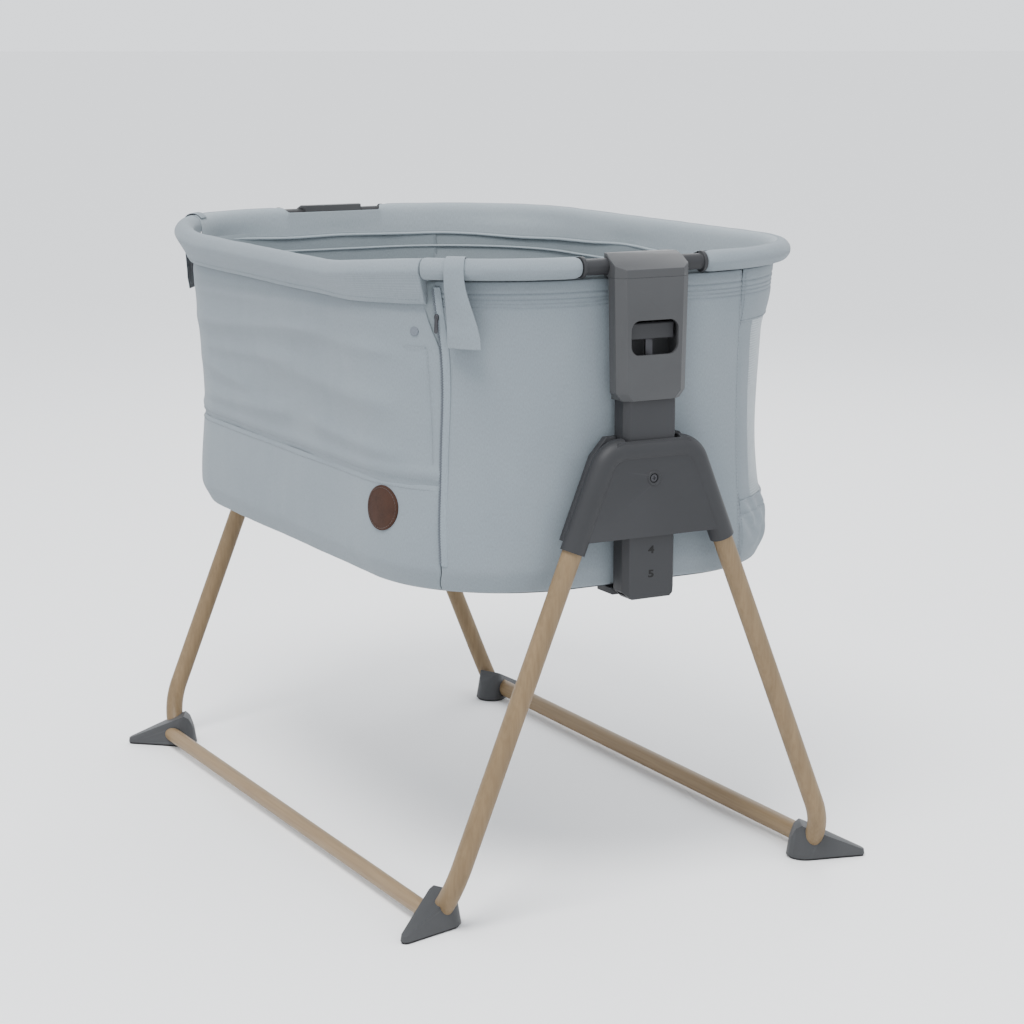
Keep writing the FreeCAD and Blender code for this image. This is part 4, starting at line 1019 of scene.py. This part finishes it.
def low_band_lift(x, y, z, share):
    out = back_lift(x, y, z, share)
    for where, level, slant, height in BACK_CREASES:
        along = share - where
        near = hill(along, 0.03) * hill(z - level, 0.022)
        out += height * near * math.cos(((z - level) + slant * along) / 0.0065)
    return out - 0.0015 * hill(z - LOW_BAND_SEAM, 0.0016)


def top_band_lift(x, y, z, share):
    return back_lift(x, y, z, share) - 0.0014 * sum(hill(z - line, 0.0011) for line in END_LINES)


def back_thread_lift(x, y, z, share):
    return back_lift(x, y, z, share) + 0.0003


def back_lining_lift(x, y, z, share):
    return -0.0048 + min(0.0, back_lift(x, y, z, share))


def make_back():
    start, stop = back_seam(SEAM_GAP), far_back_seam(SEAM_GAP)
    inset_start, inset_stop = back_seam(NET_INSET), far_back_seam(NET_INSET)
    upper = wall_sheet("back_upper_cloth", start, stop, spread(NET_HIGH - 0.006, WALL_TOP, 0.006, END_LINES),
                       200, top_band_lift, CLOTH)
    lower = wall_sheet("back_lower_cloth", start, stop,
                       HEM + spread(WALL_LOW, NET_LOW + 0.006, 0.005, (LOW_BAND_SEAM,)),
                       220, low_band_lift, CLOTH)
    window = wall_sheet("back_net", inset_start, inset_stop,
                        spread(NET_LOW - 0.004, NET_HIGH + 0.004, 0.007), 170,
                        lambda *p: back_lift(*p) - 0.0012, NET)
    posts = []
    for side, sign in SIDES:
        post = wall_sheet(f"{side}_back_post", start, back_seam(NET_INSET + 0.006),
                          spread(NET_LOW - 0.004, NET_HIGH + 0.004, 0.006), 12,
                          lambda *p: back_lift(*p) - 0.0017, CLOTH)
        to_side(sign, post)
        posts.append(post)
    threads = stitches("back_stitching", [
        wall_line(start, stop, NET_HIGH - 0.003, back_thread_lift, 300),
        wall_line(start, stop, NET_LOW + 0.003, back_thread_lift, 300),
        wall_column(back_seam(0.0045), *SEAM_THREAD, back_thread_lift),
        wall_column(far_back_seam(0.0045), *SEAM_THREAD, back_thread_lift)], THREAD)
    for part in (upper, lower, *posts):
        thicken(part, CLOTH_THICKNESS)
    low_lining = wall_sheet("back_lower_lining", start, stop, spread(LINING_LOW, NET_LOW + 0.004, 0.015),
                            120, back_lining_lift, LINING)
    high_lining = wall_sheet("back_upper_lining", start, stop, spread(NET_HIGH - 0.004, LINING_TOP, 0.012),
                             120, back_lining_lift, LINING)
    for part in (low_lining, high_lining):
        thicken(part, LINING_THICKNESS, 0, 1.0)
    for part in (upper, lower, window, *posts, threads, low_lining, high_lining):
        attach(part, "basket")
    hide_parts("back_wall")
    way = cut_size(start, stop, 0.40, 0.78)[1]


# ---- zips, tabs, buttons and patch -----------------------------------------------------------

ZIP_LOW, ZIP_HIGH = 0.432, 0.772
SLIDER_LEVEL = 0.7345
# The tape's section: distance past the zip's line, and how far it stands out from the wall.
TAPE_SECTION = ((0.0003, 0.0006), (0.0014, 0.0018), (0.0062, 0.0019), (0.0076, 0.0010))
TOOTH_COUNT, TOOTH_PITCH, TOOTH_LEAN = 206, 0.00162, 0.0007
TOOTH_SECTION = ((-0.0014, -0.0006), (-0.0012, 0.0006), (0.0012, 0.0006), (0.0014, -0.0006))


def on_zip(level, shift, rise):
    """A point beside the right zip's line, and the wall's outward normal there."""
    plan = wall_plan(level)
    x, y, nx, ny = around(plan, front_zip(shift)(plan))
    return (x + nx * rise, y + ny * rise, level), Vector((nx, ny, 0))


def make_tape(side):
    """The zip's tape, sewn to the end wall."""
    points, uvs = [], []
    rows = 90
    for number in range(rows):
        level = ZIP_LOW + (ZIP_HIGH - ZIP_LOW) * number / (rows - 1)
        for shift, rise in TAPE_SECTION:
            points.append(on_zip(level, shift, rise)[0])
            uvs.append((shift, level))
    tape = new_piece(f"{side}_zip_tape", points, grid_faces(rows, len(TAPE_SECTION)), TAPE, uvs)
    thicken(tape, 0.0008, 1)
    return tape


def make_teeth(side):
    """Small blocks that lean to one row and the other in turn, in the gap beside the tape."""
    points, faces = [], []
    for number in range(TOOTH_COUNT):
        lean = TOOTH_LEAN if number % 2 else -TOOTH_LEAN
        centre, out = on_zip(0.436 + number * TOOTH_PITCH, lean, 0.0008)
        along = Vector((-out.y, out.x, 0))
        first = len(points)
        for high in (-0.00055, 0.00055):
            points += [Vector(centre) + along * wide + out * deep + Vector((0, 0, high))
                       for wide, deep in TOOTH_SECTION]
        faces += [(first, first + 1, first + 2, first + 3), (first + 7, first + 6, first + 5, first + 4)]
        for corner in range(4):
            after = (corner + 1) % 4
            faces.append((first + corner, first + 4 + corner, first + 4 + after, first + after))
    return new_piece(f"{side}_zip_teeth", points, faces, TEETH)


def make_slider(side):
    """A rounded shuttle with a hanging pull."""
    place, out = on_zip(SLIDER_LEVEL, 0.0005, 0.0)
    along, up = Vector((-out.y, out.x, 0)), Vector((0, 0, 1))
    centre = Vector(place) + out * 0.0022
    points, faces = [], []
    for depth, grow in ((-0.0016, 0.9), (0.0, 1.0), (0.0012, 0.9), (0.0018, 0.6)):
        for wide, high in turns(16):
            reach = 0.0032 * (1 + 0.25 * high) * grow
            points.append(centre + out * depth + along * reach * wide + up * 0.0050 * grow * high)
    faces += grid_faces(4, 16, ring=True)
    faces += [tuple(range(16))[::-1], tuple(range(48, 64))]
    hang = centre + out * 0.0022 - up * 0.002
    first = len(points)
    for depth in (-0.0005, 0.0005):
        for wide, high in turns(20):
            reach, drop = ((0.0026, 0.0035 * high - 0.013) if high < 0 else (0.0018, 0.0022 * high))
            points.append(hang + out * depth + along * (reach * wide) + up * drop)
    faces += grid_faces(2, 20, ring=True, first=first)
    faces += [tuple(range(first, first + 20))[::-1], tuple(range(first + 20, first + 40))]
    piece = new_piece(f"{side}_zip_slider", points, faces, DARK_STEEL)
    piece.modifiers.new("round", "BEVEL").width = 0.0003
    return piece


def make_zips():
    """Each zip: tape, teeth, slider, and a facing behind its open top."""
    for side, sign in SIDES:
        tape, teeth, slider = make_tape(side), make_teeth(side), make_slider(side)
        facing = wall_sheet(f"{side}_zip_facing", front_zip(-0.015), front_zip(0.010),
                            spread(0.690, 0.7785, 0.006), 14,
                            lambda x, y, z, share: -0.0032 + 0.0006 * ripple(x, y, z, 60, 2.0), LINING)
        thicken(facing, LINING_THICKNESS, 0, 1.0)
        to_side(sign, tape, teeth, slider, facing)
        keep((tape, teeth, slider), "basket")
        keep([facing], "basket")
        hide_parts(f"{side}_side_zip")


TAB_START = {"right": 0.0270, "left": 0.0040}   # how far past each zip the tab's near side is
TAB_WIDTH = 0.0210
TAB_FALL = {"right": 0.0140, "left": 0.0045}     # how far its near side hangs in towards the wall
TAB_LOW = 0.700
TAB_FLAT = (0.035, 0.132)


def make_tabs():
    """A loop of cloth over each front corner of the rim, hanging free; its underside is a near-black sheet,
    painted shade for the tab's shaded inner side.
    """
    for side, sign in SIDES:
        points, uvs = [], []
        rows, columns = 56, 18
        for row in range(rows):
            share = row / (rows - 1)
            for column in range(columns):
                across = column / (columns - 1)
                flare = 0.017 * smooth_step(0.35, 1.0, share) * across
                shift = TAB_START[side] + TAB_WIDTH * across + flare
                x, y, nx, ny = around(RIM_PLAN, way_to_x(RIM_PLAN, ZIP_X) + shift * 1.1)
                if share < 0.34:
                    turn = math.radians(150 - 158 * share / 0.34)
                    reach = 0.0146
                    out, level = reach * math.cos(turn), RIM_LEVEL + reach * math.sin(turn)
                else:
                    down = (share - 0.34) / 0.66
                    level = RIM_LEVEL - 0.002 - down * (RIM_LEVEL - 0.002 - TAB_LOW)
                    fall = TAB_FALL[side] * (1 - 0.7 * smooth_step(0.0, 0.9, across))
                    out = 0.0145 - fall * smooth_step(0.0, 0.75, down)
                    out -= 0.0028 * smooth_step(0.8, 1.0, down) * (1 - across)
                out += 0.0006 * noise.noise(Vector((across * 4, share * 5, sign)))
                points.append((x + nx * out, y + ny * out, level))
                uvs.append((across * TAB_FLAT[0], share * 0.13))
        piece = new_piece(f"{side}_tab_cloth", points, grid_faces(rows, columns), CLOTH, uvs)
        # The underside sheet is near black: painted shade for the tab's shaded inner side.
        under = new_piece(f"{side}_tab_painted_shade", points, grid_faces(rows, columns), PAINTED_SHADE_LINING, uvs)
        hem = [points[(rows - 4) * columns + column] for column in range(3, columns - 1)]
        rim = [points[row * columns + 2] for row in range(22, rows - 3)]
        far = [points[row * columns + columns - 3] for row in range(22, rows - 3)]
        threads = stitches(f"{side}_tab_stitching", [[offset_out(p, 0.0004) for p in path]
                                                     for path in (hem, rim, far)], THREAD)
        for part in (piece, under, threads):
            to_side(sign, part)
            keep([part], "basket")
        thicken(piece, 0.0009, 1, -1.0)
        thicken(under, 0.0009, 1, 1.0)
        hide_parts(f"{side}_corner_tab")


def offset_out(point, distance):
    out = Vector((point[0], point[1], 0)).normalized() * distance
    return tuple(Vector(point) + out)


def lathe(name, centre, out, profile, material, sides=28):
    """A round piece about an axis.  profile gives (radius, height) pairs from the rim to the middle."""
    out = out.normalized()
    across = out.cross(Vector((0, 0, 1))).normalized()
    up = across.cross(out)
    points = []
    for radius, height in profile:
        points += [centre + out * height + (across * wide + up * high) * radius
                   for wide, high in turns(sides)]
    faces = grid_faces(len(profile), sides, ring=True)
    faces += [tuple(range(sides))[::-1], tuple(range((len(profile) - 1) * sides, len(profile) * sides))]
    return new_piece(name, points, faces, material, [(point.x + point.y, point.z) for point in points])


SNAP_X, SNAP_LEVEL = 0.352, 0.717


def make_snaps():
    """A press stud near the top of each side of the drop panel."""
    for side, sign in SIDES:
        plan = wall_plan(SNAP_LEVEL)
        x, y, nx, ny = around(plan, sign * way_to_x(plan, SNAP_X))
        out = Vector((nx, ny, 0))
        centre = Vector((x, y, SNAP_LEVEL)) + out * panel_lift(x, y, SNAP_LEVEL, 0.97)
        profile = [(0.0056, -0.0006), (0.0058, 0.0004), (0.0052, 0.0011), (0.0042, 0.0012), (0.0038, 0.0009),
                   (0.0030, 0.0012), (0.0012, 0.0016)]
        stud = lathe(f"{side}_press_stud", centre, out, profile, TEETH)
        keep([stud], "drop_side")


PATCH_X, PATCH_LEVEL, PATCH_RADIUS = 0.296, 0.494, 0.028


def on_lower_wall(x, level, rise):
    plan = wall_plan(level)
    x, y, nx, ny = around(plan, way_to_x(plan, x))
    out = lower_lift(x, y, level, 0.8) + rise
    return Vector((x + nx * out, y + ny * out, level))


def make_patch():
    """A plain round leather patch, sewn on near its edge."""
    rings = ((1.0, -0.0002), (1.0, 0.0012), (0.985, 0.0019), (0.95, 0.0021), (0.90, 0.0017), (0.86, 0.0020),
             (0.6, 0.0022), (0.3, 0.0022), (0.04, 0.0022))
    points, sides = [], 72
    for share, rise in rings:
        points += [on_lower_wall(PATCH_X + PATCH_RADIUS * share * wide,
                                 PATCH_LEVEL + PATCH_RADIUS * share * high, rise)
                   for wide, high in turns(sides)]
    faces = grid_faces(len(rings), sides, ring=True)
    faces.append(tuple(range((len(rings) - 1) * sides, len(rings) * sides)))
    piece = new_piece("round_leather_patch", points, faces, BROWN)
    subdivide(piece)
    circle = [on_lower_wall(PATCH_X + PATCH_RADIUS * 0.90 * math.cos(turn / 90 * PI),
                            PATCH_LEVEL + PATCH_RADIUS * 0.90 * math.sin(turn / 90 * PI), 0.0021)
              for turn in range(181)]
    threads = stitches("patch_stitching", [circle], BROWN_THREAD, 0.0026, 0.0012)
    keep((piece, threads), "basket")
    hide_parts("round_patch")


# ---- mattress and numbers --------------------------------------------------------------------

MATTRESS_LOW = 0.4042
MATTRESS_PLAN = (0.428, 0.253, 0.168)
PIPING_LEVEL = 0.4300
SWELL = 0.007                         # how far the filling may push the cover out


def swollen(piece, steps=20, pressure=4.0):
    """Blow a closed cover up from inside with Blender's cloth, and give back the new places."""
    cloth = piece.modifiers.new("filling", "CLOTH")
    cloth.settings.use_pressure = True
    cloth.settings.uniform_pressure_force = pressure
    cloth.settings.effector_weights.gravity = 0
    cloth.point_cache.frame_start, cloth.point_cache.frame_end = 1, steps
    for step in range(1, steps + 1):
        bpy.context.scene.frame_set(step)
    held = piece.evaluated_get(bpy.context.evaluated_depsgraph_get()).to_mesh()
    places = [vertex.co.copy() for vertex in held.vertices]
    piece.evaluated_get(bpy.context.evaluated_depsgraph_get()).to_mesh_clear()
    piece.modifiers.remove(cloth)
    bpy.context.scene.frame_set(1)
    return places


def quilt_depth(x, y):
    """Depth of the diamond quilting's channels, 0 in the middle of a diamond."""
    nearest = min(abs(math.sin(PI * (x + y) / 0.115)), abs(math.sin(PI * (x - y) / 0.115)))
    return 1 - smooth_step(0.0, 0.42, nearest)


def make_mattress():
    """A filled pad whose cover is blown up by simulation, then quilted, with a piped edge."""
    source = NODES["mattress"]
    start = bpy.data.objects.new("mattress_start", source.data.copy())
    bpy.context.scene.collection.objects.link(start)
    for vertex in start.data.vertices:
        vertex.co.x *= 0.990
        vertex.co.y *= 0.984
        vertex.co.z = MATTRESS_LOW + (vertex.co.z - MATTRESS_LOW) * 0.90
    start.modifiers.new("even", "REMESH").voxel_size = 0.006
    mesh = bpy.data.meshes.new_from_object(start.evaluated_get(bpy.context.evaluated_depsgraph_get()))
    bpy.data.objects.remove(start)
    piece = bpy.data.objects.new("mattress_cover", mesh)
    bpy.context.scene.collection.objects.link(piece)
    mesh.materials.clear()
    mesh.materials.append(KNIT)
    places = swollen(piece)
    for vertex, place in zip(mesh.vertices, places):
        push = place - vertex.co
        if push.length > SWELL:
            push *= SWELL / push.length
        place = vertex.co + push
        top = smooth_step(MATTRESS_LOW + 0.020, MATTRESS_LOW + 0.030, vertex.co.z)
        reach = max(abs(place.x) / MATTRESS_PLAN[0], abs(place.y) / MATTRESS_PLAN[1])
        crown = 0.004 * (1 - reach ** 4) * top
        channel = 0.0042 * quilt_depth(place.x, place.y) * top * smooth_step(0.99, 0.90, reach)
        place.z = max(MATTRESS_LOW, place.z + crown - channel)
        vertex.co = place
    for polygon in mesh.polygons:
        polygon.use_smooth = True
    subdivide(piece)
    piping = []
    half = runs(MATTRESS_PLAN)[3]
    for number in range(300):
        x, y, nx, ny = around(MATTRESS_PLAN, -half + 2 * half * number / 300)
        found, hit = piece.ray_cast(Vector((x + nx * 0.05, y + ny * 0.05, PIPING_LEVEL)),
                                    Vector((-nx, -ny, 0)))[:2]
        rim = hit if found else Vector((x, y, PIPING_LEVEL))
        piping.append((rim.x + nx * 0.0006, rim.y + ny * 0.0006, PIPING_LEVEL))
    edge = tube("mattress_piping", piping, 0.0016, PIPING, ring=True)
    keep((piece, edge), "basket")
    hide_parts("mattress")


DIGIT_SIZE, DIGIT_STEP, DIGIT_TOP = 0.0125, 0.030, 0.568
DIGIT_FACE = 0.48305                  # just proud of the height tubes' outer faces


def make_digits():
    """Position numbers down the outer face of each height tube, one every 30 mm."""
    for side, sign in SIDES:
        for number in range(1, 6):
            curve = bpy.data.curves.new(f"{side}_digit_{number}", "FONT")
            curve.body = str(number)
            curve.size = DIGIT_SIZE
            curve.align_x = "CENTER"
            curve.align_y = "CENTER"
            curve.extrude = 0.00012
            curve.offset = 0.00045
            text = bpy.data.objects.new("digit_source", curve)
            bpy.context.scene.collection.objects.link(text)
            bpy.context.view_layer.update()
            mesh = bpy.data.meshes.new_from_object(text)
            bpy.data.objects.remove(text)
            mesh.materials.clear()
            mesh.materials.append(DIGITS)
            turn = Matrix(((0, 0, sign, 0), (sign, 0, 0, 0), (0, 1, 0, 0), (0, 0, 0, 1)))
            scale = Matrix.Diagonal((1.35, 1.0, 1.0, 1.0))
            place = (sign * DIGIT_FACE, 0, DIGIT_TOP - DIGIT_STEP * number)
            mesh.transform(Matrix.Translation(place) @ turn @ scale)
            piece = bpy.data.objects.new(f"{side}_number_{number}", mesh)
            bpy.context.scene.collection.objects.link(piece)
            keep([piece], "carrier")


def make_screw_wells():
    """The shallow moulded well round each bracket's screw."""
    for side, sign in SIDES:
        corners = [Vector(corner) for corner in NODES[f"{side}_bush_screw"].bound_box]
        centre = sum(corners, Vector()) / 8
        shell = [Vector(corner) for corner in NODES[f"{side}_bracket_shell"].bound_box]
        found, hit = NODES[f"{side}_bracket_shell"].ray_cast(
            Vector((sign * 0.6, centre.y + 0.0095, centre.z)), Vector((-sign, 0, 0)))[:2]
        face = hit.x if found else sign * max(abs(corner.x) for corner in shell)
        centre = Vector((face, centre.y, centre.z))
        profile = [(0.0094, -0.0004), (0.0092, 0.0002), (0.0084, 0.0009), (0.0078, 0.0009), (0.0068, 0.0001),
                   (0.0058, -0.0003)]
        points, sides = [], 40
        for radius, height in profile:
            points += [(centre.x + sign * height, centre.y + radius * wide, centre.z + radius * high)
                       for wide, high in turns(sides)]
        well = new_piece(f"{side}_screw_well", points, grid_faces(len(profile), sides, ring=True), DARK)
        if sign > 0:
            well.data.flip_normals()
        keep([well], "stand")


set_camera()
set_light()
dress_all()
make_screw_wells()
make_ends()
make_front_lower()
make_drop_side()
make_front_rim()
make_rim_pads()
make_inner_flap()
make_back()
make_zips()
make_tabs()
make_snaps()
make_patch()
make_mattress()
make_digits()

floor = new_piece("floor", [(-300, -300, 0), (300, -300, 0), (300, 300, 0), (-300, 300, 0)], [(0, 1, 2, 3)],
                  rubber("floor_paint", (0.95, 0.95, 0.95)))
